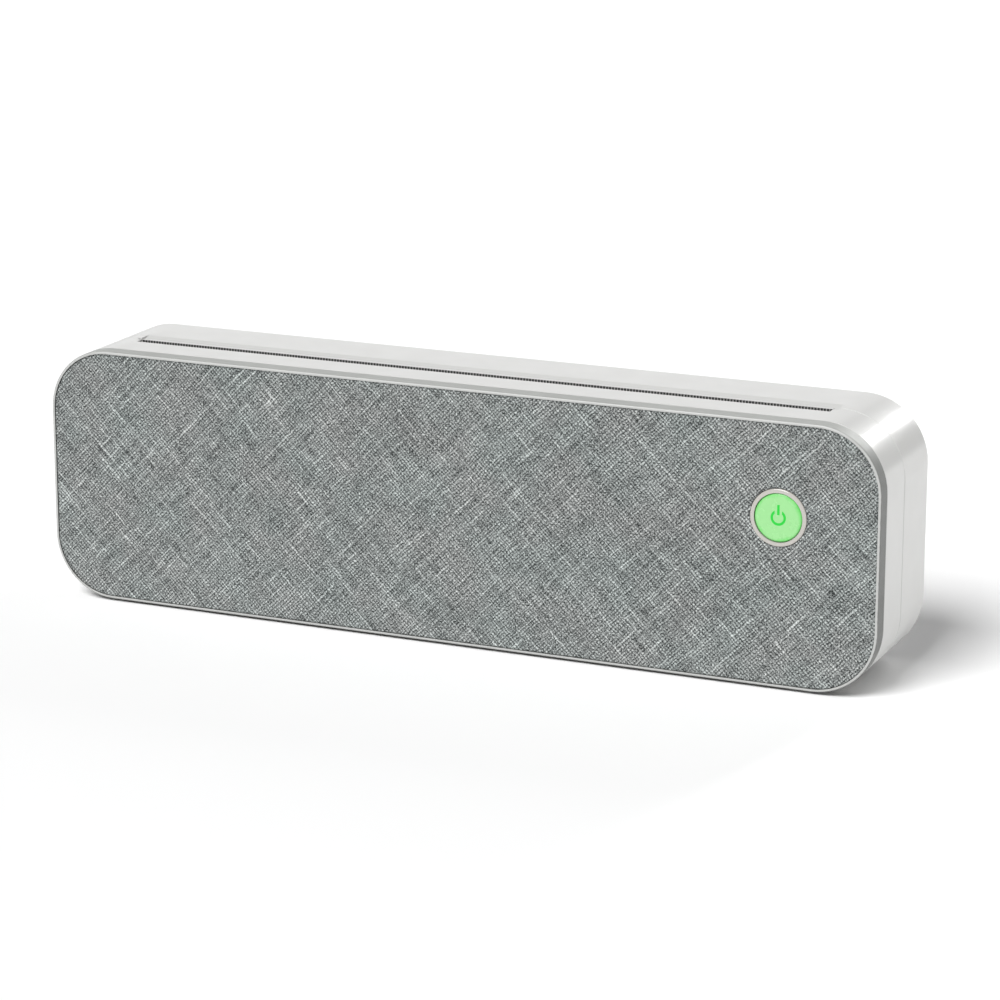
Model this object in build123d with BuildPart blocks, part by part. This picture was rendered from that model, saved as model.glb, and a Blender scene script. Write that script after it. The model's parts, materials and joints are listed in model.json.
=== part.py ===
from build123d import *

import os
from math import atan2, cos, pi, radians, sin, sqrt, tan

# A4 portable thermal printer: a rounded white bar with a cloth front, a paper slot along the top and a
# rear cover that hinges at the bottom edge and carries the platen roller.
# X is the width, Y runs from the cloth front to the back, Z is up. The origin is on the table, under the
# middle of the printer. All sizes are in millimetres.

# ---------------------------------------------------------------- driving dimensions
length = 255.0
depth = 43.0
height = 75.0
corner_radius = 18.5
foot_height = 0.8
wall = 2.0
running_clearance = 0.05
fit_clearance = 0.1
moving_clearance = 0.3

trim_depth = 5.2
trim_rim = 0.8
trim_edge_radius = 0.55
trim_ledge_width = 4.9
trim_ledge_thickness = 1.8
fabric_recess = 0.25
fabric_thickness = 0.8
housing_edge_chamfer = 0.3
panel_screw_across_ledge = 0.7
panel_tab_size = (8.0, 5.6, 2.0)
panel_tab_outer_reach = 3.0

seam_from_front = 20.5
seam_gap = 0.35
rear_edge_radius = 1.5

# paper path
paper_slot_length = 214.5
paper_slot_from_front = 16.2
paper_slot_gap = 1.9
slot_lip_chamfer = 0.5
slot_back_gap = 0.2
tear_bar_thickness = 0.8
tear_tooth_pitch = 0.9
tear_tooth_depth = 0.7
tear_bar_rear = 20.0
tear_recess_depth = 1.3
tear_recess_from_front = 24.6
tongue_end_margin = 1.2
tongue_nose_thickness = 1.5
tongue_heel = 0.5
tongue_root_drop = (0.8, 1.2)
top_rib_x = (-80.0, -40.0, 0.0, 40.0, 80.0)
top_rib_thickness = 1.6
top_rib_above_bay = 4.0
top_rib_front = (1.0, 2.0)
top_rib_foot = 3.0

roll_radius = 15.0
roll_clearance = 0.9
roll_width = 212.0
bay_side_clearance = 0.5
bay_wall = 1.4
bay_centre_height = 23.5
end_wall_thickness = 1.5
inner_tab_thickness = 1.5
inner_tab_half_width = 4.0
inner_tab_front = 2.8
inner_tab_rear = 8.0
trough_from = 120.0
trough_to = 300.0
trough_lip_lap = 0.9
partition_lap = 0.4
partition_drop = 1.2
end_wall_gap = 0.5
inner_rib_thickness = 1.6
boss_height = 3.0
boss_radius = 2.6
boss_floor = 1.0

# platen and thermal head
platen_radius = 6.0
platen_rubber_length = 211.0
platen_core_radius = 3.0
platen_journal_radius = 2.0
platen_core_overhang = 0.5
journal_past_gear = 0.2
journal_overhang = 1.0
platen_height = 61.0
nip_from_front = 18.5
bush_radius = 3.5
bush_overhang = 0.2
head_length = 211.0
head_thickness = 5.0
head_bottom_height = 47.7
head_top_height = 66.2
head_pin_radius = 1.2
head_pin_height = 2.0
head_pin_root = 2.0
head_pin_setback = 0.2
head_gap = 0.25
head_end_margin = 1.0
head_groove = (1.8, 1.4)
head_groove_heights = (4.0, 7.0)
head_top_groove = 3.0
driver_strip_size = (0.45, 2.2)
driver_strip_gap = 0.8
driver_strip_end_margin = 5.0
driver_strip_chamfer = 0.15
head_bracket_gap = 3.0
head_bracket_thickness = 1.0
head_bracket_half_height = 4.0
head_bracket_lug_reach = 2.0
spring_x = (-78.0, -26.0, 26.0, 78.0)
spring_below_platen = 1.5
spring_radius = 1.8
spring_wire = 0.25
spring_turns = 3.5
spring_peg_bore = 0.8
substrate_thickness = 0.8
substrate_height = 10.0
glaze_height = 0.55
glaze_width = 2.4
glaze_end_margin = 2.25

# sheet metal
plate = 1.2
side_frame_gap = 0.6
frame_front_inset = 7.7
frame_rear = 27.9
frame_screw_from_front = 4.0
frame_screw_behind_bay = 0.5
frame_screw_rise = (5.0, 9.0)
end_wall_foot_inset = 5.3
frame_bottom_height = 26.2
frame_top_height = 71.0
notch_rise_angle = 20.0
jaw_drop = 1.2
jaw_step_behind_latch = 2.5
jaw_step_length = 2.0
frame_rear_cut_height = 14.0
frame_foot_behind_bay = 2.6
bracket_half_height = 6.4
bracket_rib_width = 2.4
bracket_rib_gap = 0.4
bracket_rib_reach = 10.5
bracket_back_gap = 0.4
bracket_screw_from_back = 5.2
bracket_screw_spread = 4.2

# gear train
gear_module = 0.5
gear_addendum = 0.4
gear_dedendum = 0.6
gear_backlash = 0.12
pressure_angle = 20.0
gear_steps = 4
platen_teeth = 30
reduction_small_teeth = 18
reduction_big_teeth = 36
pinion_teeth = 16
pinion_overhang = 0.2
pinion_shaft_reach = 0.9
gear_width = 2.0
gear_layer_gap = 0.4
gear_plate_gap = 0.3
gear_plate_thickness = 1.0
gear_plate_margin = 1.9
reduction_direction = 210.0
motor_direction = 270.0
gear_stud_radius = 1.5
gear_hub_radius = 3.2
post_radius = 1.6
post_pilot_depth = 3.0
front_post_offset = (5.0, 9.0)
rear_post_offset = (8.6, 6.4)
top_post_offset = (4.1, 1.6)
gear_plate_front_margin = 0.6
gear_plate_latch_edge = (2.6, 1.6, 3.0)
gear_plate_motor_rise = 4.0
motor_radius = 8.0
motor_length = 6.6
motor_shaft_radius = 1.0
motor_shaft_play = 0.3
motor_edge_radius = 0.8
motor_bore_depth = 1.0

# hinge
knuckle_radius = 2.4
hinge_pin_radius = 1.0
hinge_spacing = 176.0
cover_knuckle_length = 14.0
housing_knuckle_length = 6.0
hinge_pin_play = 0.5
knuckle_web_height = 4.5

# power button
button_x = 98.5
button_height = 48.0
bezel_radius = 8.1
bezel_width = 1.15
bezel_flange_radius = 10.0
bezel_flange_thickness = 0.8
bezel_setback = 0.1
bezel_lip_depth = 1.8
bezel_counterbore_wall = 0.6
bezel_edge_radius = 0.35
cap_setback = 0.2
cap_gap = 0.15
cap_flange_thickness = 0.8
cap_flange_gap = 0.2
cap_edge_radius = 0.5
pusher_radius = 1.5
mark_radius = 2.2
mark_stroke = 0.7
mark_depth = 0.3
mark_bar_reach = 1.3
switch_height = 1.2
switch_half = 2.5
switch_floor = 0.2
stem_radius = 1.2
stem_height = 1.6
stem_overlap = 0.4

# latch and its release slider
latch_shaft_radius = 1.25
latch_hub_radius = 2.0
latch_from_front = 13.0
latch_height = 68.4
hook_thickness = 1.2
hook_head_gap = 1.1
hook_tip_reach = 3.9
hook_tip_rise = 3.55
hook_shoulder = (1.5, 0.2)
hook_nose = (4.2, 2.3)
hook_barb = (1.5, 0.4)
hook_throat = (1.7, 1.2)
latch_shaft_overhang = 0.8
crank_thickness = 1.2
crank_pin_radius = 0.8
crank_pin_length = 3.4
slot_end_gap = 0.4
crank_eye_radius = 1.4
crank_arm_width = 2.2
slider_height = 53.7
slider_plate = (10.0, 7.0, 1.0)
slider_plate_radius = 1.5
slider_window_gap = 0.3
slider_stem = 3.0
slider_travel = 1.75
slider_pocket = 1.2
groove_pitch = 1.6
groove_width = 0.7
groove_depth = 0.35
groove_half_height = 2.2
clip_thickness = 0.9
clip_size = (8.0, 7.0)

# boards, battery and socket
board_thickness = 1.2
board_bottom_height = 41.2
board_top_gap = 7.0
board_half_length = 105.0
board_standoff = 1.9
board_standoff_radius = 2.4
board_screw_x = (-98.0, 26.0, 84.0)
board_screw_margin = (3.5, 6.0)
chip_height = 0.9
chip_low = 9.0
chips_at = [(-30.0, 12.0, 12.0), (-12.0, 7.0, 5.0), (16.0, 9.0, 9.0), (38.0, 5.0, 5.0), (58.0, 8.0, 5.0)]
radio_board_x = (-72.0, -54.0)
radio_board_z = (1.5, 13.0)
radio_board_thickness = 0.6
radio_can_x = (-71.0, -59.5)
radio_can_z = (2.5, 12.0)
radio_can_height = 1.8
connector_low = 1.0
connector_height = 3.5
ribbon_connector_x = (-45.0, 0.0)
motor_connector_x = (66.0, 76.0)
flat_connector_depth = 1.7
lead_connector_depth = 2.4
lead_connector_half = 3.0
ribbon_x = (-43.0, -2.0)
ribbon_thickness = 0.3
ribbon_reach = 2.0
ribbon_rise = (2.2, 0.6)
ribbon_behind_pivot = 0.6
ribbon_corner_lift = 0.21
lead_x = 8.0
lead_spacing = 1.6
lead_radius = 0.55
lead_bend = 0.8
lead_lift = 1.1
lead_shift = 6.0
cell_width = 98.0
cell_height = 28.0
cell_gap = 0.3
cell_panel_gap = 0.2
cell_spacing = 3.0
cell_edge_radius = 2.0
cell_front_radius = 0.6
lead_exit_size = (8.0, 1.6, 4.0)
lead_exit_from_back = 0.8
usb_height = 21.2
usb_from_front = 12.5
usb_width = 8.94
usb_thickness = 3.26
usb_length = 7.3
usb_setback = 0.4
usb_shell_wall = 0.3
usb_corner_flat = 0.02
usb_opening_gap = 0.5
usb_back_wall_from_side = 5.6
usb_tongue_from_side = 1.4
usb_tongue_overlap = 0.4
usb_tongue_size = (0.7, 6.6)
usb_inner_size = (2.6, 8.0)
usb_block_spacing = 13.6
usb_block_length = 5.5
usb_block_height = 4.4
usb_block_setback = 0.6
usb_screw_from_wall = 3.0
usb_screw_depth = 3.5
usb_board_height = 17.2
usb_board_wall_gap = 1.1
usb_board_frame_gap = 1.0

# small sensors
paper_sensor_x = (-14.0, -8.0)
paper_sensor_drop = (6.2, 2.2)
paper_sensor_depth = 1.6
cover_switch_thickness = 2.6
cover_switch_from_frame = (1.6, 8.2)
cover_switch_drop = (6.5, 1.0)
cover_switch_button_drop = 3.8
cover_switch_button_radius = 0.6
cover_switch_button_length = 1.2

# screws and feet
screw_radius = 1.0
screw_pilot_step = 0.2
pilot_floor = 0.4
screw_head_radius = 1.8
screw_head_height = 1.1
screw_drive = (1.8, 0.5, 0.1)
screw_drive_depth = 0.6
chassis_screw_x = (-84.0, -22.0, 22.0, 84.0)
chassis_screw_from_front = 10.5
chassis_screw_grip = 4.0
panel_screw_x = (-96.0, -32.0, 32.0, 96.0)
panel_screw_grip = 3.2
gear_screw_grip = 3.8
bracket_screw_bite = 2.2
board_screw_bite = 2.5
usb_screw_bite = 3.4
frame_screw_setback = 0.1
edge_break = 0.3
tool_overrun = 1.0
merge_overlap = 0.5
foot_radius = 4.0
foot_seat = 0.5
foot_x = (-100.0, 100.0)
front_foot_from_front = 10.0
rear_foot_from_back = 7.5

# ---------------------------------------------------------------- levels that follow from them
front = -depth / 2
back = depth / 2
side = length / 2
bottom = foot_height
top = foot_height + height
middle = (bottom + top) / 2
inner_side = side - wall
inner_bottom = bottom + wall
inner_top = top - wall
inner_back = back - wall
seam = front + seam_from_front
housing_back = seam - seam_gap / 2
cover_front = seam + seam_gap / 2
trim_back = front + trim_depth
fabric_front = front + fabric_recess
fabric_back = fabric_front + fabric_thickness
panel_back = trim_back - trim_ledge_thickness
slot_front = front + paper_slot_from_front
slot_back = slot_front + paper_slot_gap

hinge_radius = knuckle_radius + moving_clearance
hinge = (back - hinge_radius, bottom + hinge_radius)
bay_radius = roll_radius + roll_clearance
bay = (inner_back - bay_radius - fit_clearance, bottom + bay_centre_height)
roll_side = roll_width / 2 + bay_side_clearance
frame_in = roll_side + end_wall_thickness
frame_out = frame_in + plate
bracket_in = frame_out + side_frame_gap
bracket_out = bracket_in + plate
platen = (front + nip_from_front + platen_radius, bottom + platen_height)
head_back = platen[0] - platen_radius - head_gap - glaze_height - substrate_thickness
head_front = head_back - head_thickness
head_bottom = bottom + head_bottom_height
head_top = bottom + head_top_height
head_pivot = ((head_back + head_front) / 2, head_bottom + head_pin_height)
frame_front = front + frame_front_inset
floor_half = frame_out + side_frame_gap / 2
latch = (front + latch_from_front, bottom + latch_height)
board_front = panel_back + board_standoff
board_back = board_front + board_thickness
board_bottom = bottom + board_bottom_height
board_top = top - board_top_gap
button = (button_x, bottom + button_height)
layer_one = -(bracket_out + gear_layer_gap)
layer_two = layer_one - gear_width - gear_layer_gap
gear_plate_x = layer_two - gear_width - gear_plate_gap
gear_plate_end = gear_plate_x - gear_plate_thickness
crank_x = (gear_plate_end - moving_clearance, gear_plate_end - moving_clearance - crank_thickness)


def facing(y):
    """The upright plane at depth y: the sketch's X is the width and its Y the height. Extrude by a minus
    amount goes to the back."""
    return Plane.XZ.offset(-y)


def across(x):
    """The upright plane across the width at x: the sketch's X is the depth and its Y the height. Extrude
    goes along +X."""
    return Plane.YZ.offset(x)


def level(z):
    """The level plane at height z."""
    return Plane.XY.offset(z)


def outline(inset=0.0, mode=Mode.ADD):
    """The printer's rounded outline, drawn in by inset."""
    with Locations((0, middle)):
        RectangleRounded(length - 2 * inset, height - 2 * inset, corner_radius - inset, mode=mode)


def box(x, y, z, mode=Mode.ADD):
    """A block between two corners: x, y and z are pairs."""
    with Locations(((x[0] + x[1]) / 2, (y[0] + y[1]) / 2, (z[0] + z[1]) / 2)):
        Box(abs(x[1] - x[0]), abs(y[1] - y[0]), abs(z[1] - z[0]), mode=mode)


def rod(x, centre, radius, mode=Mode.ADD):
    """A round bar along the width between the pair x, centred on the (y, z) of centre."""
    with BuildSketch(across(min(x))) as section:
        with Locations(centre):
            Circle(radius)
    extrude(section.sketch, amount=abs(x[1] - x[0]), mode=mode)


def polar(centre, distance, angle):
    """The (y, z) point at that distance and angle, in degrees, from centre."""
    return (
        centre[0] + distance * cos(radians(angle)),
        centre[1] + distance * sin(radians(angle)),
    )


def write(piece, name):
    """Labels a finished sub-part and writes its file."""
    piece.part.label = name
    export_step(piece.part, f"parts/{name}.step")


# the gear train's centres, from the platen to the reduction gear and on to the motor
reduction_distance = gear_module * (platen_teeth + reduction_small_teeth) / 2
motor_distance = gear_module * (reduction_big_teeth + pinion_teeth) / 2
reduction = polar(platen, reduction_distance, reduction_direction)
rotor = polar(reduction, motor_distance, motor_direction)

os.makedirs("parts", exist_ok=True)

# ---------------------------------------------------------------- front panel, cloth and trim ring
trim_ledge_inset = trim_rim + trim_ledge_width
panel_screw_inset = trim_rim + panel_screw_across_ledge * trim_ledge_width
panel_screw_z = (bottom + panel_screw_inset, top - panel_screw_inset)
panel_screws_at = [(x, z) for x in panel_screw_x for z in panel_screw_z]
pilot_radius = screw_radius - screw_pilot_step

with BuildPart() as trim_ring:
    with BuildSketch(facing(front)):
        outline()
    extrude(amount=-trim_depth)
    fillet(trim_ring.faces().sort_by(Axis.Y)[0].edges(), trim_edge_radius)
    with BuildSketch(facing(front)):
        outline(trim_rim)
    extrude(amount=-(panel_back - front), mode=Mode.SUBTRACT)
    with BuildSketch(facing(front)):
        outline(trim_ledge_inset)
    extrude(amount=-trim_depth, mode=Mode.SUBTRACT)
    chamfer(trim_ring.faces().sort_by(Axis.Y)[-1].outer_wire().edges(), housing_edge_chamfer / 2)
    with BuildSketch(facing(trim_back)):
        with Locations(*panel_screws_at):
            Circle(pilot_radius)
    extrude(amount=trim_ledge_thickness - pilot_floor, mode=Mode.SUBTRACT)
    # room for the motor behind the left strip
    motor_room = (gear_plate_end - motor_length - moving_clearance, gear_plate_end)
    rod(motor_room, rotor, motor_radius + moving_clearance, mode=Mode.SUBTRACT)
write(trim_ring, "trim_ring")

# the stiff panel behind the cloth, with stand-offs for the main board
board_screw_z = (board_bottom + board_screw_margin[0], board_top - board_screw_margin[1])
board_screws_at = [(x, z) for x in board_screw_x for z in board_screw_z]
with BuildPart() as front_panel:
    with BuildSketch(facing(fabric_back)):
        outline(trim_rim + fit_clearance)
        with Locations(button):
            Circle(bezel_radius + fit_clearance, mode=Mode.SUBTRACT)
    extrude(amount=-(panel_back - fabric_back))
    with BuildSketch(facing(panel_back)):
        with Locations(*board_screws_at):
            Circle(board_standoff_radius)
    extrude(amount=-(board_front - panel_back))
    with BuildSketch(facing(board_front)):
        with Locations(*board_screws_at):
            Circle(pilot_radius)
    extrude(amount=board_front - panel_back + tool_overrun, mode=Mode.SUBTRACT)
write(front_panel, "front_panel")

with BuildPart() as fabric_cover:
    with BuildSketch(facing(fabric_front)):
        outline(trim_rim + fit_clearance)
    extrude(amount=-fabric_thickness)
    fillet(fabric_cover.faces().sort_by(Axis.Y)[0].edges(), fabric_thickness / 2)
    with BuildSketch(facing(fabric_front)):
        with Locations(button):
            Circle(bezel_radius + fit_clearance)
    extrude(amount=-fabric_thickness, mode=Mode.SUBTRACT)
write(fabric_cover, "fabric_cover")

# ---------------------------------------------------------------- power button
bezel_front = front + bezel_setback
bezel_bore = bezel_radius - bezel_width
bezel_shoulder = bezel_front + bezel_lip_depth
bezel_counterbore = bezel_radius - bezel_counterbore_wall
bezel_back = panel_back + bezel_flange_thickness
with BuildPart() as button_bezel:
    with BuildSketch(facing(bezel_front)):
        with Locations(button):
            Circle(bezel_radius)
    extrude(amount=-(bezel_back - bezel_front))
    fillet(button_bezel.faces().sort_by(Axis.Y)[0].edges(), bezel_edge_radius)
    with BuildSketch(facing(panel_back)):
        with Locations(button):
            Circle(bezel_flange_radius)
    extrude(amount=-bezel_flange_thickness)
    with BuildSketch(facing(bezel_front)):
        with Locations(button):
            Circle(bezel_bore)
    extrude(amount=-(bezel_back - bezel_front), mode=Mode.SUBTRACT)
    with BuildSketch(facing(bezel_shoulder)):
        with Locations(button):
            Circle(bezel_counterbore)
    extrude(amount=-(bezel_back - bezel_shoulder), mode=Mode.SUBTRACT)
write(button_bezel, "button_bezel")

cap_front = bezel_front + cap_setback
cap_radius = bezel_bore - cap_gap
cap_flange_front = bezel_shoulder + cap_gap
cap_back = cap_flange_front + cap_flange_thickness
stem_front = board_front - stem_height


def power_mark():
    """The standby mark: an open ring with a bar through the gap, centred on the button."""
    with Locations(button):
        Circle(mark_radius)
        Circle(mark_radius - mark_stroke, mode=Mode.SUBTRACT)
    with Locations((button[0], button[1] + mark_radius)):
        Rectangle(3 * mark_stroke, 2 * mark_radius, mode=Mode.SUBTRACT)
        Rectangle(mark_stroke, mark_bar_reach * mark_radius)


with BuildPart() as power_button:
    with BuildSketch(facing(cap_front)):
        with Locations(button):
            Circle(cap_radius)
    extrude(amount=-(cap_back - cap_front))
    fillet(power_button.faces().sort_by(Axis.Y)[0].edges(), cap_edge_radius)
    with BuildSketch(facing(cap_flange_front)):
        with Locations(button):
            Circle(bezel_counterbore - cap_flange_gap)
    extrude(amount=-cap_flange_thickness)
    with BuildSketch(facing(cap_back)):
        with Locations(button):
            Circle(pusher_radius)
    extrude(amount=-(stem_front - running_clearance - cap_back))
    with BuildSketch(facing(cap_front)):
        power_mark()
    extrude(amount=-mark_depth, mode=Mode.SUBTRACT)
write(power_button, "power_button")

with BuildPart() as button_mark:
    with BuildSketch(facing(cap_front)):
        power_mark()
    extrude(amount=-mark_depth)
write(button_mark, "button_mark")

# the tactile switch on the main board, whose stem travels with the button
with BuildPart() as switch_base:
    box(
        (button[0] - switch_half, button[0] + switch_half),
        (board_front - switch_height, board_front),
        (button[1] - switch_half, button[1] + switch_half),
    )
    with BuildSketch(facing(board_front - switch_height)):
        with Locations(button):
            Circle(stem_radius + fit_clearance)
    extrude(amount=-(switch_height - switch_floor), mode=Mode.SUBTRACT)
write(switch_base, "switch_base")

with BuildPart() as switch_stem:
    with BuildSketch(facing(stem_front)):
        with Locations(button):
            Circle(stem_radius)
    extrude(amount=-(board_front - switch_height + stem_overlap - stem_front))
write(switch_stem, "switch_stem")

# ---------------------------------------------------------------- hinge, shared by the two housings
hinge_x = (-hinge_spacing / 2, hinge_spacing / 2)
cover_edge = hinge_radius + moving_clearance


def knuckle_span(centre, number):
    """The X pair of a hinge's knuckles: 0 is the cover's middle one, -1 and 1 the housing's outer ones."""
    if number == 0:
        return (centre - cover_knuckle_length / 2, centre + cover_knuckle_length / 2)
    inner = centre + number * (cover_knuckle_length / 2 + moving_clearance / 2)
    return (inner, inner + number * housing_knuckle_length)


# ---------------------------------------------------------------- front housing
tongue_half = paper_slot_length / 2 + tongue_end_margin
tongue_front = slot_back + tear_tooth_depth
chassis_screw_y = front + chassis_screw_from_front
usb_y = front + usb_from_front
usb_z = bottom + usb_height
slider_y = latch[0]
slider_z = bottom + slider_height
foot_y = (front + front_foot_from_front, back - rear_foot_from_back)
foot_at = [(x, y) for x in foot_x for y in foot_y]
usb_block_z = (usb_z - usb_block_spacing / 2, usb_z + usb_block_spacing / 2)
usb_screws_at = [(-inner_side + usb_screw_from_wall, z) for z in usb_block_z]
usb_board_front = usb_y + usb_thickness / 2

with BuildPart() as front_housing:
    with BuildSketch(facing(trim_back)):
        outline()
    extrude(amount=-(housing_back - trim_back))
    chamfer(front_housing.faces().sort_by(Axis.Y)[0].edges(), housing_edge_chamfer)
    with BuildSketch(facing(trim_back)):
        outline(wall)
    extrude(amount=-(housing_back - trim_back), mode=Mode.SUBTRACT)
    # the floor goes on under the rear cover and ends in a round barrel along the hinge line
    floor_end = floor_half - seam_gap / 2
    box((-floor_end, floor_end), (housing_back - tool_overrun, hinge[0]), (bottom, inner_bottom))
    rod((-floor_end, floor_end), hinge, hinge_radius)
    # screw tabs that hold the front panel's trim ring
    tab_wide, tab_high, tab_deep = panel_tab_size
    for x, z in panel_screws_at:
        inward = 1 if z < middle else -1
        tab_z = (z - panel_tab_outer_reach * inward, z + (tab_high - panel_tab_outer_reach) * inward)
        box((x - tab_wide / 2, x + tab_wide / 2), (trim_back, trim_back + tab_deep), tab_z)
    with BuildSketch(facing(trim_back)):
        with Locations(*panel_screws_at):
            Circle(screw_radius + fit_clearance)
    extrude(amount=-tab_deep, mode=Mode.SUBTRACT)
    # bosses under the inner frame
    with BuildSketch(level(inner_bottom)):
        with Locations(*[(x, chassis_screw_y) for x in chassis_screw_x]):
            Circle(boss_radius)
    extrude(amount=boss_height)
    with BuildSketch(level(inner_bottom + boss_height)):
        with Locations(*[(x, chassis_screw_y) for x in chassis_screw_x]):
            Circle(pilot_radius)
    extrude(amount=-(boss_height + wall - boss_floor), mode=Mode.SUBTRACT)
    # blocks that carry the charging board
    for z in usb_block_z:
        box(
            (-inner_side - merge_overlap, -inner_side + usb_block_length),
            (usb_board_front + board_thickness, housing_back - usb_block_setback),
            (z - usb_block_height / 2, z + usb_block_height / 2),
        )
    # the paper slot and the notch for the rear cover's tongue
    slot_half = paper_slot_length / 2
    slot_depth = (slot_front, tongue_front + slot_back_gap)
    cut_through_top = (inner_top - tool_overrun, top + tool_overrun)
    box((-slot_half, slot_half), slot_depth, cut_through_top, mode=Mode.SUBTRACT)
    notch_half = tongue_half + moving_clearance
    notch_depth = (tongue_front - moving_clearance, seam)
    box((-notch_half, notch_half), notch_depth, cut_through_top, mode=Mode.SUBTRACT)
    slot_lip = front_housing.edges().filter_by(Axis.X).sort_by_distance((0, slot_front, top))[0]
    chamfer(slot_lip, slot_lip_chamfer)
    # room in the barrel for the cover's knuckles, and the bores of the hinge pins
    for x in hinge_x:
        clear = (knuckle_span(x, 0)[0] - moving_clearance / 2, knuckle_span(x, 0)[1] + moving_clearance / 2)
        rod(clear, hinge, hinge_radius + running_clearance, mode=Mode.SUBTRACT)
        rod((knuckle_span(x, -1)[1], knuckle_span(x, 1)[1]), hinge, hinge_pin_radius, mode=Mode.SUBTRACT)
    # room for the crank's hub in the corner
    crank_room = (crank_x[0] + moving_clearance, crank_x[1] - moving_clearance)
    rod(crank_room, latch, latch_hub_radius + moving_clearance, mode=Mode.SUBTRACT)
    # charging socket opening and the slider's pocket and window in the left wall
    with BuildSketch(across(-side - tool_overrun)):
        with Locations((usb_y, usb_z)):
            opening = (usb_thickness + usb_opening_gap, usb_width + usb_opening_gap)
            RectangleRounded(*opening, usb_thickness / 2)
    extrude(amount=wall + 2 * tool_overrun, mode=Mode.SUBTRACT)
    pocket_length = slider_plate[0] + slider_travel + 2 * slider_window_gap
    pocket_height = slider_plate[1] + 2 * slider_window_gap
    with BuildSketch(across(-side)):
        with Locations((slider_y + slider_travel / 2, slider_z)):
            RectangleRounded(pocket_length, pocket_height, slider_plate_radius + slider_window_gap)
    extrude(amount=slider_pocket, mode=Mode.SUBTRACT)
    window_half = slider_stem / 2 + slider_window_gap
    window_half_height = slider_stem / 2 + 2 * fit_clearance
    box(
        (-side, -inner_side + tool_overrun),
        (slider_y - window_half, slider_y + window_half + slider_travel),
        (slider_z - window_half_height, slider_z + window_half_height),
        mode=Mode.SUBTRACT,
    )
    # seats for the feet
    with BuildSketch(level(bottom)):
        with Locations(*foot_at):
            Circle(foot_radius + fit_clearance)
    extrude(amount=foot_seat, mode=Mode.SUBTRACT)
    # screw holes of the charging board
    with BuildSketch(facing(usb_board_front + board_thickness)):
        with Locations(*usb_screws_at):
            Circle(pilot_radius)
    extrude(amount=-usb_screw_depth, mode=Mode.SUBTRACT)
write(front_housing, "front_housing")

with BuildPart() as feet:
    with BuildSketch(level(0)):
        with Locations(*foot_at):
            Circle(foot_radius)
    extrude(amount=foot_height + foot_seat)
    chamfer(feet.faces().sort_by(Axis.Z)[0 : len(foot_at)].edges(), edge_break)
write(feet, "feet")

with BuildPart() as hinge_pins:
    for x in hinge_x:
        outer_ends = (knuckle_span(x, -1)[1] + hinge_pin_play, knuckle_span(x, 1)[1] - hinge_pin_play)
        rod(outer_ends, hinge, hinge_pin_radius)
write(hinge_pins, "hinge_pins")


def screw(place, length_under_head):
    """A pan-head screw: its head stands on the plane and its shank goes the other way."""
    with BuildSketch(place) as head:
        Circle(screw_head_radius)
    drive_length, drive_width, drive_corner = screw_drive
    with BuildSketch(place) as drive:
        RectangleRounded(drive_length, drive_width, drive_corner)
        RectangleRounded(drive_width, drive_length, drive_corner)
    with BuildSketch(place) as shank:
        Circle(pilot_radius)
    extrude(head.sketch, amount=screw_head_height)
    extrude(shank.sketch, amount=-length_under_head)
    recess = drive.sketch.moved(Location(place.z_dir * (screw_head_height - screw_drive_depth)))
    extrude(recess, amount=tool_overrun, mode=Mode.SUBTRACT)


# ---------------------------------------------------------------- inner frame and roll bay
tab_z = inner_bottom + boss_height
trough_outer = bay_radius + bay_wall
trough_opening = [bay] + [polar(bay, 3 * bay_radius, a) for a in (trough_from, 75, 30, -15, trough_to - 360)]
partition_y = (head_back - bay_wall + partition_lap, head_back + partition_lap)
tab_y = (chassis_screw_y - inner_tab_front, chassis_screw_y + inner_tab_rear)
end_wall_back = inner_back - end_wall_gap
with BuildPart() as roll_trough:
    with BuildSketch(across(-roll_side)):
        with Locations(bay):
            Circle(trough_outer)
            Circle(bay_radius, mode=Mode.SUBTRACT)
        Polygon(*trough_opening, align=None, mode=Mode.SUBTRACT)
    extrude(amount=2 * roll_side)
    trough_lip = polar(bay, trough_outer, trough_from)
    box((-roll_side, roll_side), partition_y, (trough_lip[1] - trough_lip_lap, head_bottom - partition_drop))
    # screw tabs with a rib beside each
    for x in chassis_screw_x:
        tab_end = x + inner_tab_half_width
        box((x - inner_tab_half_width, tab_end), tab_y, (tab_z, tab_z + inner_tab_thickness))
        with BuildSketch(across(tab_end - inner_rib_thickness)):
            Polygon(
                (tab_y[0], tab_z),
                (tab_y[0], bay[1]),
                (bay[0], bay[1] - bay_radius - merge_overlap),
                (bay[0], tab_z),
                align=None,
            )
        extrude(amount=inner_rib_thickness)
    rod((-roll_side, roll_side), bay, bay_radius, mode=Mode.SUBTRACT)
    with BuildSketch(level(tab_z)):
        with Locations(*[(x, chassis_screw_y) for x in chassis_screw_x]):
            Circle(screw_radius + fit_clearance)
    extrude(amount=inner_tab_thickness, mode=Mode.SUBTRACT)
write(roll_trough, "roll_trough")

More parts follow.
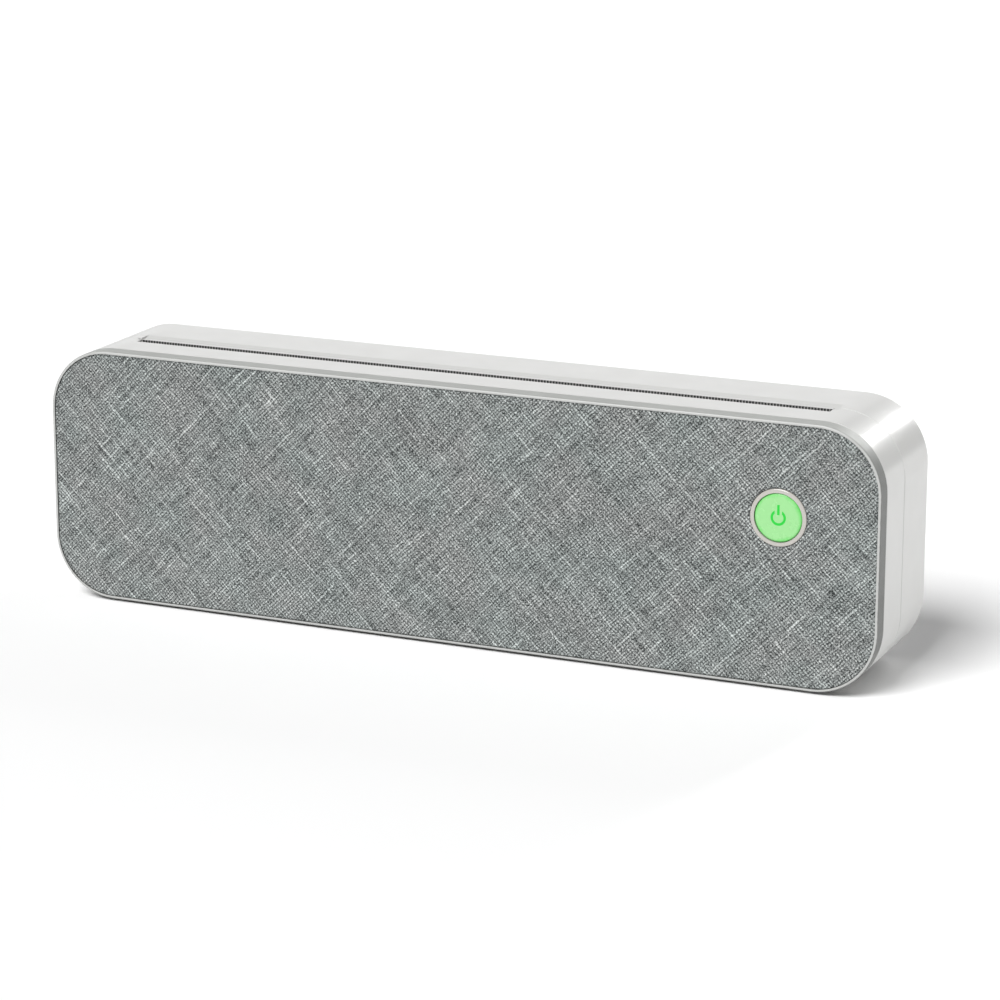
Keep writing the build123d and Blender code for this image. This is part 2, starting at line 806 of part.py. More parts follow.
# end walls of the bay, which also carry the side frames
frame_screws_at = [
    (frame_front + frame_screw_from_front, bay[1] + frame_screw_rise[0]),
    (bay[0] + frame_screw_behind_bay, bay[1] + frame_screw_rise[1]),
]
end_wall_foot = (frame_front, bay[0] + trough_outer - end_wall_foot_inset)
end_wall_reach = trough_outer + tool_overrun
with BuildPart() as bay_ends:
    for number in (-1, 1):
        with BuildSketch(across(min(number * roll_side, number * frame_in))):
            with Locations(bay):
                Circle(trough_outer)
            Polygon(
                (end_wall_foot[0], tab_z),
                (end_wall_foot[1], tab_z),
                (end_wall_foot[1], bay[1]),
                (end_wall_foot[0], bay[1]),
                align=None,
            )
            with Locations((end_wall_back + trough_outer / 2, bay[1])):
                Rectangle(trough_outer, 2 * end_wall_reach, mode=Mode.SUBTRACT)
            with Locations(*frame_screws_at):
                Circle(pilot_radius, mode=Mode.SUBTRACT)
        extrude(amount=end_wall_thickness)
write(bay_ends, "bay_ends")

with BuildPart() as chassis_screws:
    for x in chassis_screw_x:
        screw(Plane((x, chassis_screw_y, tab_z + inner_tab_thickness), z_dir=(0, 0, 1)), chassis_screw_grip)
write(chassis_screws, "chassis_screws")

with BuildPart() as panel_screws:
    for x, z in panel_screws_at:
        screw(Plane((x, trim_back + tab_deep, z), z_dir=(0, 1, 0)), panel_screw_grip)
write(panel_screws, "panel_screws")

# ---------------------------------------------------------------- side frames
frame_bottom = bottom + frame_bottom_height
frame_top = bottom + frame_top_height
frame_back = front + frame_rear
notch_radius = bush_radius + fit_clearance
notch_rise = tan(radians(notch_rise_angle))
jaw_top = frame_top - jaw_drop


def side_frame_outline():
    """A steel side plate: open notch for the platen's bush, bores for the head's pins and latch shaft."""
    Polygon(
        (frame_front, frame_bottom),
        (frame_front, frame_top),
        (latch[0] + jaw_step_behind_latch, frame_top),
        (latch[0] + jaw_step_behind_latch + jaw_step_length, jaw_top),
        (frame_back, jaw_top),
        (frame_back, frame_bottom + frame_rear_cut_height),
        (bay[0] + frame_foot_behind_bay, frame_bottom),
        align=None,
    )
    reach = frame_back + 2 * tool_overrun - platen[0]
    notch_over = notch_radius / cos(radians(notch_rise_angle))
    with Locations(platen):
        Circle(notch_radius, mode=Mode.SUBTRACT)
    Polygon(
        (platen[0], platen[1] - notch_radius),
        (platen[0] + reach, platen[1] - notch_radius),
        (platen[0] + reach, platen[1] + notch_over + reach * notch_rise),
        polar(platen, notch_radius, 90 + notch_rise_angle),
        align=None,
        mode=Mode.SUBTRACT,
    )
    with Locations(head_pivot):
        Circle(head_pin_radius + running_clearance, mode=Mode.SUBTRACT)
    with Locations(latch):
        Circle(latch_shaft_radius + running_clearance, mode=Mode.SUBTRACT)
    with Locations(*frame_screws_at):
        Circle(screw_radius + fit_clearance, mode=Mode.SUBTRACT)


with BuildPart() as side_frame_left:
    with BuildSketch(across(-frame_out)):
        side_frame_outline()
    extrude(amount=plate)
write(side_frame_left, "side_frame_left")

with BuildPart() as side_frame_right:
    with BuildSketch(across(frame_in)):
        side_frame_outline()
    extrude(amount=plate)
write(side_frame_right, "side_frame_right")

frame_screw_grip = plate + end_wall_thickness - frame_screw_setback
with BuildPart() as frame_screws:
    for number in (-1, 1):
        for y, z in frame_screws_at:
            screw(Plane((number * frame_out, y, z), z_dir=(number, 0, 0)), frame_screw_grip)
write(frame_screws, "frame_screws")

# ---------------------------------------------------------------- thermal head
head_end = head_length / 2
spring_z = platen[1] - spring_below_platen
bracket_back = head_front - head_bracket_gap
bracket_front = bracket_back - head_bracket_thickness
bracket_z = (spring_z - head_bracket_half_height, spring_z + head_bracket_half_height)
groove_deep, groove_high = head_groove
groove_z = [head_bottom + height_up for height_up in head_groove_heights] + [head_top - head_top_groove]
with BuildPart() as head_block:
    box((-head_end, head_end), (head_front, head_back), (head_bottom, head_top))
    for z in groove_z:
        groove = (z - groove_high / 2, z + groove_high / 2)
        box((-head_end, head_end), (head_front, head_front + groove_deep), groove, mode=Mode.SUBTRACT)
    for number in (-1, 1):
        pin = (number * (head_end - head_pin_root), number * (frame_out - head_pin_setback))
        rod(pin, head_pivot, head_pin_radius)
write(head_block, "head_block")

with BuildPart() as head_substrate:
    box(
        (-head_end + head_end_margin, head_end - head_end_margin),
        (head_back, head_back + substrate_thickness),
        (platen[1] - substrate_height / 2, platen[1] + substrate_height / 2),
    )
write(head_substrate, "head_substrate")

with BuildPart() as head_glaze:
    glaze_back = head_back + substrate_thickness + glaze_height
    glaze_half = paper_slot_length / 2 - glaze_end_margin
    with BuildSketch(across(-glaze_half)):
        Polygon(
            (head_back + substrate_thickness, platen[1] - glaze_width / 2),
            (glaze_back, platen[1] - glaze_width / 4),
            (glaze_back, platen[1] + glaze_width / 4),
            (head_back + substrate_thickness, platen[1] + glaze_width / 2),
            align=None,
        )
    extrude(amount=2 * glaze_half)
write(head_glaze, "head_glaze")

with BuildPart() as head_driver_strip:
    strip_thickness, strip_height = driver_strip_size
    strip_half = head_end - driver_strip_end_margin
    strip_top = platen[1] - glaze_width / 2 - driver_strip_gap
    strip_depth = (head_back + substrate_thickness, head_back + substrate_thickness + strip_thickness)
    box((-strip_half, strip_half), strip_depth, (strip_top - strip_height, strip_top))
    chamfer(head_driver_strip.faces().sort_by(Axis.Y)[-1].edges(), driver_strip_chamfer)
write(head_driver_strip, "head_driver_strip")

with BuildPart() as head_bracket:
    box((-frame_in, frame_in), (bracket_front, bracket_back), bracket_z)
    for number in (-1, 1):
        lug = (number * frame_in, number * (frame_in - head_bracket_thickness))
        box(lug, (bracket_front, bracket_back + head_bracket_lug_reach), bracket_z)
    with BuildSketch(facing(bracket_front)):
        with Locations(*[(x, spring_z) for x in spring_x]):
            Circle(spring_peg_bore)
    extrude(amount=-head_bracket_thickness, mode=Mode.SUBTRACT)
write(head_bracket, "head_bracket")

spring_length = head_front - bracket_back
with BuildPart() as head_spring:
    with BuildLine() as spring_line:
        Helix(
            pitch=(spring_length - 2 * spring_wire) / spring_turns,
            height=spring_length - 2 * spring_wire,
            radius=spring_radius,
        )
    with BuildSketch(spring_line.line ^ 0):
        Circle(spring_wire)
    sweep()

with BuildPart() as head_springs:
    for x in spring_x:
        place = Location((x, head_front - spring_wire, spring_z), (90, 0, 0))
        add(head_spring.part.moved(place))
write(head_springs, "head_springs")

# ---------------------------------------------------------------- latch and its release slider
with BuildPart() as latch_shaft:
    rod((min(crank_x), frame_out + latch_shaft_overhang), latch, latch_shaft_radius)
write(latch_shaft, "latch_shaft")

hook_in = head_end + hook_head_gap
hook_tip = (platen[0] + hook_tip_reach, platen[1] + hook_tip_rise)
with BuildPart() as latch_hooks:
    for number in (-1, 1):
        with BuildSketch(across(min(number * hook_in, number * (hook_in + hook_thickness)))):
            with Locations(latch):
                Circle(latch_hub_radius)
            Polygon(
                (latch[0], latch[1] + latch_hub_radius),
                (platen[0] + hook_shoulder[0], latch[1] + hook_shoulder[1]),
                (platen[0] + hook_nose[0], latch[1] - hook_nose[1]),
                hook_tip,
                (hook_tip[0] - hook_barb[0], hook_tip[1] - hook_barb[1]),
                (hook_tip[0] - hook_throat[0], hook_tip[1] + hook_throat[1]),
                (platen[0], latch[1] - hook_nose[1]),
                (latch[0], latch[1] - latch_hub_radius),
                align=None,
            )
            with Locations(latch):
                Circle(latch_shaft_radius, mode=Mode.SUBTRACT)
        extrude(amount=hook_thickness)
write(latch_hooks, "latch_hooks")

crank_arm = latch[1] - slider_z
with BuildPart() as latch_crank:
    with BuildSketch(across(min(crank_x))):
        with Locations(latch):
            Circle(latch_hub_radius)
        with Locations((latch[0], slider_z)):
            Circle(crank_eye_radius)
        with Locations((latch[0], (latch[1] + slider_z) / 2)):
            Rectangle(crank_arm_width, crank_arm)
        with Locations(latch):
            Circle(latch_shaft_radius, mode=Mode.SUBTRACT)
    extrude(amount=crank_thickness)
    rod((min(crank_x) - crank_pin_length, min(crank_x)), (latch[0], slider_z), crank_pin_radius)
write(latch_crank, "latch_crank")

slider_in = -side + slider_pocket - fit_clearance
stem_end = min(crank_x) - moving_clearance
slot_end = min(crank_x) - crank_pin_length - slot_end_gap
with BuildPart() as release_slider:
    with BuildSketch(across(slider_in - slider_plate[2])):
        with Locations((slider_y, slider_z)):
            RectangleRounded(slider_plate[0], slider_plate[1], slider_plate_radius)
    extrude(amount=slider_plate[2])
    groove_x = (-side - tool_overrun, slider_in - slider_plate[2] + groove_depth)
    groove_span = (slider_z - groove_half_height, slider_z + groove_half_height)
    for step in (-2, -1, 0, 1, 2):
        groove_y = slider_y + step * groove_pitch
        groove = (groove_y - groove_width / 2, groove_y + groove_width / 2)
        box(groove_x, groove, groove_span, mode=Mode.SUBTRACT)
    half = slider_stem / 2
    box((slider_in, stem_end), (slider_y - half, slider_y + half), (slider_z - half, slider_z + half))
    slot_y = (slider_y - crank_pin_radius - fit_clearance, slider_y + crank_pin_radius + fit_clearance)
    box((slot_end, stem_end), slot_y, (slider_z - half, slider_z + half), mode=Mode.SUBTRACT)
write(release_slider, "release_slider")

with BuildPart() as slider_clip:
    clip_long, clip_high = clip_size
    clip_x = (-inner_side + moving_clearance, -inner_side + moving_clearance + clip_thickness)
    clip_y = (slider_y - clip_long / 2, slider_y + clip_long / 2)
    box(clip_x, clip_y, (slider_z - clip_high / 2, slider_z + clip_high / 2))
    box(clip_x, (slider_y - half, slider_y + half), (slider_z - half, slider_z + half), mode=Mode.SUBTRACT)
write(slider_clip, "slider_clip")

# ---------------------------------------------------------------- platen roller
rubber_end = platen_rubber_length / 2
with BuildPart() as platen_shaft:
    core_end = rubber_end + platen_core_overhang
    rod((-core_end, core_end), platen, platen_core_radius)
    journal_x = (layer_one - gear_width - journal_past_gear, bracket_out + journal_overhang)
    rod(journal_x, platen, platen_journal_radius)
    chamfer(platen_shaft.faces().sort_by(Axis.X)[0].edges(), edge_break)
    chamfer(platen_shaft.faces().sort_by(Axis.X)[-1].edges(), edge_break)
write(platen_shaft, "platen_shaft")

with BuildPart() as platen_rubber:
    rod((-rubber_end, rubber_end), platen, platen_radius)
    rod((-rubber_end, rubber_end), platen, platen_core_radius, mode=Mode.SUBTRACT)
    rims = platen_rubber.edges().filter_by(GeomType.CIRCLE)
    chamfer(rims.filter_by(lambda rim: rim.radius > platen_core_radius), edge_break)
write(platen_rubber, "platen_rubber")

with BuildPart() as platen_bushes:
    for number in (-1, 1):
        span = (number * frame_in, number * (bracket_out + bush_overhang))
        rod(span, platen, bush_radius)
        rod(span, platen, platen_journal_radius + running_clearance, mode=Mode.SUBTRACT)
write(platen_bushes, "platen_bushes")

# ---------------------------------------------------------------- gears
def gear_profile(teeth, centre, phase):
    """A spur gear with involute flanks: one tooth's middle points at the angle phase, in degrees."""
    pitch = gear_module * teeth / 2
    base = pitch * cos(radians(pressure_angle))
    tip = pitch + gear_addendum
    root = pitch - gear_dedendum
    slope = radians(pressure_angle)
    half_pitch = (pi * gear_module / 2 - gear_backlash / 2) / (2 * pitch)
    half_base = half_pitch + tan(slope) - slope
    roll_end = sqrt((tip / base) ** 2 - 1)
    roll_start = sqrt(max((root / base) ** 2 - 1, 0.0))
    flank = []
    for step in range(gear_steps + 1):
        roll = roll_start + (roll_end - roll_start) * step / gear_steps
        flank.append((base * sqrt(1 + roll**2), half_base - roll + atan2(roll, 1)))
    if root < base:
        flank.insert(0, (root, half_base))
    points = []
    for tooth in range(teeth):
        turn = radians(phase) + 2 * pi * tooth / teeth
        for radius, angle in flank:
            points.append((centre[0] + radius * cos(turn - angle), centre[1] + radius * sin(turn - angle)))
        for radius, angle in reversed(flank):
            points.append((centre[0] + radius * cos(turn + angle), centre[1] + radius * sin(turn + angle)))
    Polygon(*points, align=None)


with BuildPart() as platen_gear:
    with BuildSketch(across(layer_one - gear_width)):
        gear_profile(platen_teeth, platen, reduction_direction)
        with Locations(platen):
            Circle(platen_journal_radius, mode=Mode.SUBTRACT)
    extrude(amount=gear_width)
write(platen_gear, "platen_gear")

with BuildPart() as reduction_gear:
    with BuildSketch(across(layer_one - gear_width)):
        gap_phase = reduction_direction + 180 + 180 / reduction_small_teeth
        gear_profile(reduction_small_teeth, reduction, gap_phase)
    extrude(amount=gear_width)
    with BuildSketch(across(layer_two - gear_width)):
        gear_profile(reduction_big_teeth, reduction, motor_direction)
    extrude(amount=gear_width)
    rod((layer_two, layer_one - gear_width), reduction, gear_hub_radius)
    stud_bore = gear_stud_radius + running_clearance
    rod((layer_two - gear_width, layer_one), reduction, stud_bore, mode=Mode.SUBTRACT)
write(reduction_gear, "reduction_gear")

with BuildPart() as motor_pinion:
    with BuildSketch(across(layer_two - gear_width)):
        gear_profile(pinion_teeth, rotor, motor_direction + 180 + 180 / pinion_teeth)
    extrude(amount=gear_width + pinion_overhang)
    rod((gear_plate_x - pinion_shaft_reach, layer_two - gear_width), rotor, motor_shaft_radius)
write(motor_pinion, "motor_pinion")

gear_posts_at = [
    (rotor[0] - front_post_offset[0], rotor[1] - front_post_offset[1]),
    (rotor[0] + rear_post_offset[0], rotor[1] - rear_post_offset[1]),
    (latch[0] - top_post_offset[0], latch[1] - top_post_offset[1]),
]
plate_bottom = gear_posts_at[0][1] - gear_plate_margin
plate_front = frame_front - gear_plate_front_margin
plate_rear = gear_posts_at[1][0] + gear_plate_margin
latch_behind, latch_above, latch_below = gear_plate_latch_edge
with BuildPart() as gear_plate:
    with BuildSketch(across(gear_plate_end)):
        Polygon(
            (plate_front, plate_bottom),
            (plate_front, latch[1] + latch_above),
            (latch[0] + latch_behind, latch[1] + latch_above),
            (latch[0] + latch_behind, latch[1] - latch_below),
            (plate_rear, rotor[1] + gear_plate_motor_rise),
            (plate_rear, plate_bottom),
            align=None,
        )
        with Locations(latch):
            Circle(latch_shaft_radius + running_clearance, mode=Mode.SUBTRACT)
        with Locations(rotor):
            Circle(motor_shaft_radius + running_clearance, mode=Mode.SUBTRACT)
        with Locations(*gear_posts_at):
            Circle(screw_radius + fit_clearance, mode=Mode.SUBTRACT)
        with Locations(reduction):
            Circle(gear_stud_radius, mode=Mode.SUBTRACT)
    extrude(amount=gear_plate_thickness)
write(gear_plate, "gear_plate")

with BuildPart() as gear_posts:
    for place in gear_posts_at:
        rod((gear_plate_x, -frame_out), place, post_radius)
        rod((gear_plate_x, gear_plate_x + post_pilot_depth), place, pilot_radius, mode=Mode.SUBTRACT)
write(gear_posts, "gear_posts")

with BuildPart() as reduction_stud:
    rod((gear_plate_end, layer_one), reduction, gear_stud_radius)
write(reduction_stud, "reduction_stud")

with BuildPart() as gear_screws:
    for y, z in gear_posts_at:
        screw(Plane((gear_plate_end, y, z), z_dir=(-1, 0, 0)), gear_screw_grip)
write(gear_screws, "gear_screws")

with BuildPart() as motor_can:
    rod((gear_plate_end - motor_length, gear_plate_end), rotor, motor_radius)
    shaft_bore = (gear_plate_end - motor_bore_depth, gear_plate_end)
    rod(shaft_bore, rotor, motor_shaft_radius + motor_shaft_play, mode=Mode.SUBTRACT)
    fillet(motor_can.faces().sort_by(Axis.X)[0].edges(), motor_edge_radius)
write(motor_can, "motor_can")

# ---------------------------------------------------------------- rear cover with its platen brackets
recess_back = front + tear_recess_from_front
bar_rear = front + tear_bar_rear
bar_seat = top - tear_bar_thickness
bracket_rib_x = (bracket_out, bracket_out + bracket_rib_width)
bracket_rib_front = platen[0] + bracket_rib_reach
bracket_low = platen[1] - bracket_half_height - bracket_rib_gap
bracket_high = platen[1] + bracket_half_height + bracket_rib_gap
bracket_screw_y = back - bracket_screw_from_back
bracket_screws_at = [
    (bracket_screw_y, platen[1] - bracket_screw_spread),
    (bracket_screw_y, platen[1] + bracket_screw_spread),
]
with BuildPart() as rear_cover:
    with BuildSketch(facing(cover_front)):
        outline()
    extrude(amount=-(back - cover_front))
    fillet(rear_cover.faces().sort_by(Axis.Y)[-1].edges(), rear_edge_radius)
    chamfer(rear_cover.faces().sort_by(Axis.Y)[0].edges(), housing_edge_chamfer)
    with BuildSketch(facing(cover_front)):
        outline(wall)
    extrude(amount=-(inner_back - cover_front), mode=Mode.SUBTRACT)
    # the housing's floor and hinge barrel take the place of this part of the shell
    floor_start = floor_half + seam_gap / 2
    floor_cut = (cover_front - tool_overrun, back + tool_overrun)
    box((-floor_start, floor_start), floor_cut, (bottom - tool_overrun, hinge[1]), mode=Mode.SUBTRACT)
    rod((-floor_start, floor_start), hinge, cover_edge, mode=Mode.SUBTRACT)
    # the tongue with the tear bar's seat and the sloping recess behind it
    tongue_cut = (cover_front - tool_overrun, recess_back)
    tongue_cut_z = (inner_top - 2 * tool_overrun, top + tool_overrun)
    box((-tongue_half, tongue_half), tongue_cut, tongue_cut_z, mode=Mode.SUBTRACT)
    with BuildSketch(across(-tongue_half)):
        Polygon(
            (tongue_front, bar_seat - tongue_nose_thickness),
            (tongue_front, bar_seat),
            (bar_rear, bar_seat),
            (bar_rear, top - tear_recess_depth),
            (recess_back, top),
            (recess_back, inner_top - tongue_root_drop[0]),
            (bar_rear + tongue_heel, inner_top - tongue_root_drop[1]),
            align=None,
        )
    extrude(amount=2 * tongue_half)
    # stiffening ribs under the top
    rib_front = recess_back + top_rib_front[0]
    for x in top_rib_x:
        with BuildSketch(across(x - top_rib_thickness / 2)):
            Polygon(
                (inner_back + merge_overlap, bay[1] + bay_radius + top_rib_above_bay),
                (inner_back + merge_overlap, inner_top + merge_overlap),
                (rib_front, inner_top + merge_overlap),
                (rib_front, inner_top - top_rib_front[1]),
                (inner_back - top_rib_foot, platen[1]),
                align=None,
            )
        extrude(amount=top_rib_thickness)
    for number in (-1, 1):
        rib_x = (number * bracket_rib_x[0], number * bracket_rib_x[1])
        box(rib_x, (bracket_rib_front, inner_back + merge_overlap), (bracket_low, bracket_high))
        with BuildSketch(across(min(rib_x))):
            with Locations(*bracket_screws_at):
                Circle(pilot_radius)
        extrude(amount=bracket_rib_width, mode=Mode.SUBTRACT)
    # hinge knuckles
    for x in hinge_x:
        span = knuckle_span(x, 0)
        rod(span, hinge, knuckle_radius)
        box(span, (hinge[0] + moving_clearance, back), (hinge[1], hinge[1] + knuckle_web_height))
        rod(span, hinge, hinge_pin_radius + running_clearance, mode=Mode.SUBTRACT)
write(rear_cover, "rear_cover")


def bracket_outline():
    """A steel plate that carries the platen's bush."""
    arm_back = inner_back - bracket_back_gap
    with Locations(platen):
        Circle(bracket_half_height)
    with Locations(((platen[0] + arm_back) / 2, platen[1])):
        Rectangle(arm_back - platen[0], 2 * bracket_half_height)
    with Locations(platen):
        Circle(bush_radius, mode=Mode.SUBTRACT)
    with Locations(*bracket_screws_at):
        Circle(screw_radius + fit_clearance, mode=Mode.SUBTRACT)


with BuildPart() as platen_bracket_left:
    with BuildSketch(across(-bracket_out)):
        bracket_outline()
    extrude(amount=plate)
write(platen_bracket_left, "platen_bracket_left")

with BuildPart() as platen_bracket_right:
    with BuildSketch(across(bracket_in)):
        bracket_outline()
    extrude(amount=plate)
write(platen_bracket_right, "platen_bracket_right")

with BuildPart() as bracket_screws:
    for number in (-1, 1):
        for y, z in bracket_screws_at:
            screw(Plane((number * bracket_in, y, z), z_dir=(-number, 0, 0)), plate + bracket_screw_bite)
write(bracket_screws, "bracket_screws")

teeth_count = int(paper_slot_length / tear_tooth_pitch)
with BuildPart() as tear_bar:
    with BuildSketch(level(bar_seat)):
        bar_half = teeth_count * tear_tooth_pitch / 2
        points = [(bar_half, bar_rear), (-bar_half, bar_rear)]
        for tooth in range(teeth_count):
            x = -bar_half + tooth * tear_tooth_pitch
            points.append((x, tongue_front))
            points.append((x + tear_tooth_pitch / 2, slot_back))
        points.append((bar_half, tongue_front))
        Polygon(*points, align=None)
    extrude(amount=tear_bar_thickness)
write(tear_bar, "tear_bar")

# ---------------------------------------------------------------- electronics
with BuildPart() as main_board:
    box((-board_half_length, board_half_length), (board_front, board_back), (board_bottom, board_top))
    with BuildSketch(facing(board_front)):
        with Locations(*board_screws_at):
            Circle(screw_radius + fit_clearance)
    extrude(amount=-board_thickness, mode=Mode.SUBTRACT)
write(main_board, "main_board")

with BuildPart() as board_screws:
    for x, z in board_screws_at:
        screw(Plane((x, board_back, z), z_dir=(0, 1, 0)), board_thickness + board_screw_bite)
write(board_screws, "board_screws")

with BuildPart() as board_chips:
    for x, wide, high in chips_at:
        low = board_bottom + chip_low
        box((x - wide / 2, x + wide / 2), (board_back, board_back + chip_height), (low, low + high))
write(board_chips, "board_chips")

with BuildPart() as bluetooth_module:
    card_z = (board_bottom + radio_board_z[0], board_bottom + radio_board_z[1])
    can_z = (board_bottom + radio_can_z[0], board_bottom + radio_can_z[1])
    box(radio_board_x, (board_back, board_back + radio_board_thickness), card_z)
    box(radio_can_x, (board_back, board_back + radio_can_height), can_z)
write(bluetooth_module, "bluetooth_module")

connector_z = (board_bottom + connector_low, board_bottom + connector_low + connector_height)
connector_back = board_back + flat_connector_depth
lead_connector_x = (lead_x - lead_connector_half, lead_x + lead_connector_half)
with BuildPart() as board_connectors:
    box(ribbon_connector_x, (board_back, connector_back), connector_z)
    box(lead_connector_x, (board_back, board_back + lead_connector_depth), connector_z)
    box(motor_connector_x, (board_back, connector_back), connector_z)
write(board_connectors, "board_connectors")

with BuildPart() as head_ribbon:
    mid_z = (connector_z[0] + connector_z[1]) / 2
    ribbon_bend = connector_back + ribbon_reach
    ribbon_back = head_pivot[0] + ribbon_behind_pivot
    ribbon_front = ribbon_back - ribbon_thickness
    ribbon_low = head_bottom - ribbon_rise[0]
    ribbon_high = head_bottom - ribbon_rise[1]
    with BuildSketch(across(ribbon_x[0])):
        Polygon(
            (connector_back, mid_z),
            (ribbon_bend, mid_z),
            (ribbon_back, ribbon_low),
            (ribbon_back, ribbon_high),
            (ribbon_front, ribbon_high),
            (ribbon_front, ribbon_low + ribbon_corner_lift),
            (ribbon_bend, mid_z + ribbon_thickness),
            (connector_back, mid_z + ribbon_thickness),
            align=None,
        )
    extrude(amount=ribbon_x[1] - ribbon_x[0])
write(head_ribbon, "head_ribbon")

cell_front = panel_back + cell_panel_gap
cell_back = bay[0] - trough_outer - cell_gap
cell_z = (bay[1] - cell_height / 2, bay[1] + cell_height / 2)
with BuildPart() as battery_cells:
    for number in (-1, 1):
        cell_x = (number * cell_spacing / 2, number * (cell_spacing / 2 + cell_width))
        box(cell_x, (cell_front, cell_back), cell_z)
    fillet(battery_cells.edges().filter_by(Axis.Y), cell_edge_radius)
    fillet(battery_cells.faces().sort_by(Axis.Y)[0:2].edges(), cell_front_radius)
    exit_wide, exit_deep, exit_high = lead_exit_size
    exit_y = (cell_back - lead_exit_from_back - exit_deep, cell_back - lead_exit_from_back)
    box((-exit_wide / 2, exit_wide / 2), exit_y, (cell_z[1] - exit_high, cell_z[1]))
write(battery_cells, "battery_cells")

with BuildPart() as battery_lead:
    for offset in (-lead_spacing / 2, lead_spacing / 2):
        lead_from = (lead_x - lead_shift + offset, sum(exit_y) / 2, cell_z[1])
        lead_to = (lead_x + offset, board_back + lead_connector_depth / 2, connector_z[0])
        lead_over = lead_from[2] + lead_lift
        with BuildLine() as lead_line:
            FilletPolyline(
                lead_from,
                (lead_from[0], lead_from[1], lead_over),
                (lead_to[0], lead_to[1], lead_over),
                lead_to,
                radius=lead_bend,
            )
        with BuildSketch(lead_line.line ^ 0):
            Circle(lead_radius)
        sweep()
write(battery_lead, "battery_lead")

usb_board_x = (-inner_side + usb_board_wall_gap, -(frame_out + usb_board_frame_gap))
usb_board_z = (usb_z - usb_board_height / 2, usb_z + usb_board_height / 2)
usb_board_back = usb_board_front + board_thickness
with BuildPart() as usb_board:
    box(usb_board_x, (usb_board_front, usb_board_back), usb_board_z)
    with BuildSketch(facing(usb_board_front)):
        with Locations(*usb_screws_at):
            Circle(screw_radius + fit_clearance)
    extrude(amount=-board_thickness, mode=Mode.SUBTRACT)
write(usb_board, "usb_board")

with BuildPart() as usb_screws:
    for x, z in usb_screws_at:
        screw(Plane((x, usb_board_front, z), z_dir=(0, -1, 0)), board_thickness + usb_screw_bite)
write(usb_screws, "usb_screws")

usb_mouth = -side + usb_setback
usb_back_wall = -side + usb_back_wall_from_side
usb_corner = usb_thickness / 2 - usb_corner_flat


def around_socket(size):
    """The (y, z) pairs of a block of that thickness and width, centred on the charging socket."""
    return (usb_y - size[0] / 2, usb_y + size[0] / 2), (usb_z - size[1] / 2, usb_z + size[1] / 2)


with BuildPart() as usb_socket:
    bore = (usb_thickness - 2 * usb_shell_wall, usb_width - 2 * usb_shell_wall)
    with BuildSketch(across(usb_mouth)):
        with Locations((usb_y, usb_z)):
            RectangleRounded(usb_thickness, usb_width, usb_corner)
            RectangleRounded(*bore, usb_corner - usb_shell_wall, mode=Mode.SUBTRACT)
    extrude(amount=usb_length)
    box((usb_back_wall, usb_mouth + usb_length), *around_socket(usb_inner_size))
    tongue_x = (-side + usb_tongue_from_side, usb_back_wall + usb_tongue_overlap)
    box(tongue_x, *around_socket(usb_tongue_size))
write(usb_socket, "usb_socket")

with BuildPart() as paper_sensor:
    sensor_z = (head_bottom - paper_sensor_drop[0], head_bottom - paper_sensor_drop[1])
    box(paper_sensor_x, (partition_y[1], partition_y[1] + paper_sensor_depth), sensor_z)
write(paper_sensor, "paper_sensor")

with BuildPart() as cover_switch:
    switch_y = (frame_front + cover_switch_from_frame[0], frame_front + cover_switch_from_frame[1])
    switch_z = (platen[1] - cover_switch_drop[0], platen[1] - cover_switch_drop[1])
    box((frame_out, frame_out + cover_switch_thickness), switch_y, switch_z)
    with BuildSketch(facing(switch_y[1])):
        with Locations((frame_out + cover_switch_thickness / 2, platen[1] - cover_switch_button_drop)):
            Circle(cover_switch_button_radius)
    extrude(amount=-cover_switch_button_length)
write(cover_switch, "cover_switch")
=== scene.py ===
import json
import math

import bpy
import numpy as np
from mathutils import Matrix, Vector


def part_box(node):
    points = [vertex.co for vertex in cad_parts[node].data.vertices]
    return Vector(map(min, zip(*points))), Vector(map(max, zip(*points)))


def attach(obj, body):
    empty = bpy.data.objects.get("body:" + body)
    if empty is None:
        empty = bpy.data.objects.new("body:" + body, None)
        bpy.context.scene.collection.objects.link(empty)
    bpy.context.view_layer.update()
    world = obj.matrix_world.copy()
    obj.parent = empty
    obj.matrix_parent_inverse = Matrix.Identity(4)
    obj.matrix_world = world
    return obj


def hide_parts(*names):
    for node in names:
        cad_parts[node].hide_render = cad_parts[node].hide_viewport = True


bl_info = {
    "name": "Portable thermal printer",
    "version": (1, 0, 0),
    "blender": (4, 5, 0),
    "location": "View3D > Sidebar > Printer",
    "description": "Finishes, cloth front and studio stage for a bar-shaped portable thermal printer",
    "category": "Object",
}

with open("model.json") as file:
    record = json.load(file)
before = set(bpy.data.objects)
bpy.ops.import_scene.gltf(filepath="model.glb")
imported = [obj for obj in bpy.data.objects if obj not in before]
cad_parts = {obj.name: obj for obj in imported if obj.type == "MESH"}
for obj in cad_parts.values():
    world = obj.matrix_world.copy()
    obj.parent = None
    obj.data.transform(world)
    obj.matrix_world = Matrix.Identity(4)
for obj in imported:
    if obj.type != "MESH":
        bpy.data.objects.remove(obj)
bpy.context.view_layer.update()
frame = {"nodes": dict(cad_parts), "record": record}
NODES = frame["nodes"]
MILLIMETRE = 0.001
MICRON = 0.000001
CLOTH_LOW, CLOTH_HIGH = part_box("fabric_cover")
BEZEL_LOW, BEZEL_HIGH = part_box("button_bezel")
BUTTON_X = (BEZEL_LOW[0] + BEZEL_HIGH[0]) / 2
BUTTON_Z = (BEZEL_LOW[2] + BEZEL_HIGH[2]) / 2


def length_setting(name, description, default):
    """A size in metres that a user can change."""
    return bpy.props.FloatProperty(
        name=name, description=description, default=default, min=0.0, precision=5, unit="LENGTH"
    )


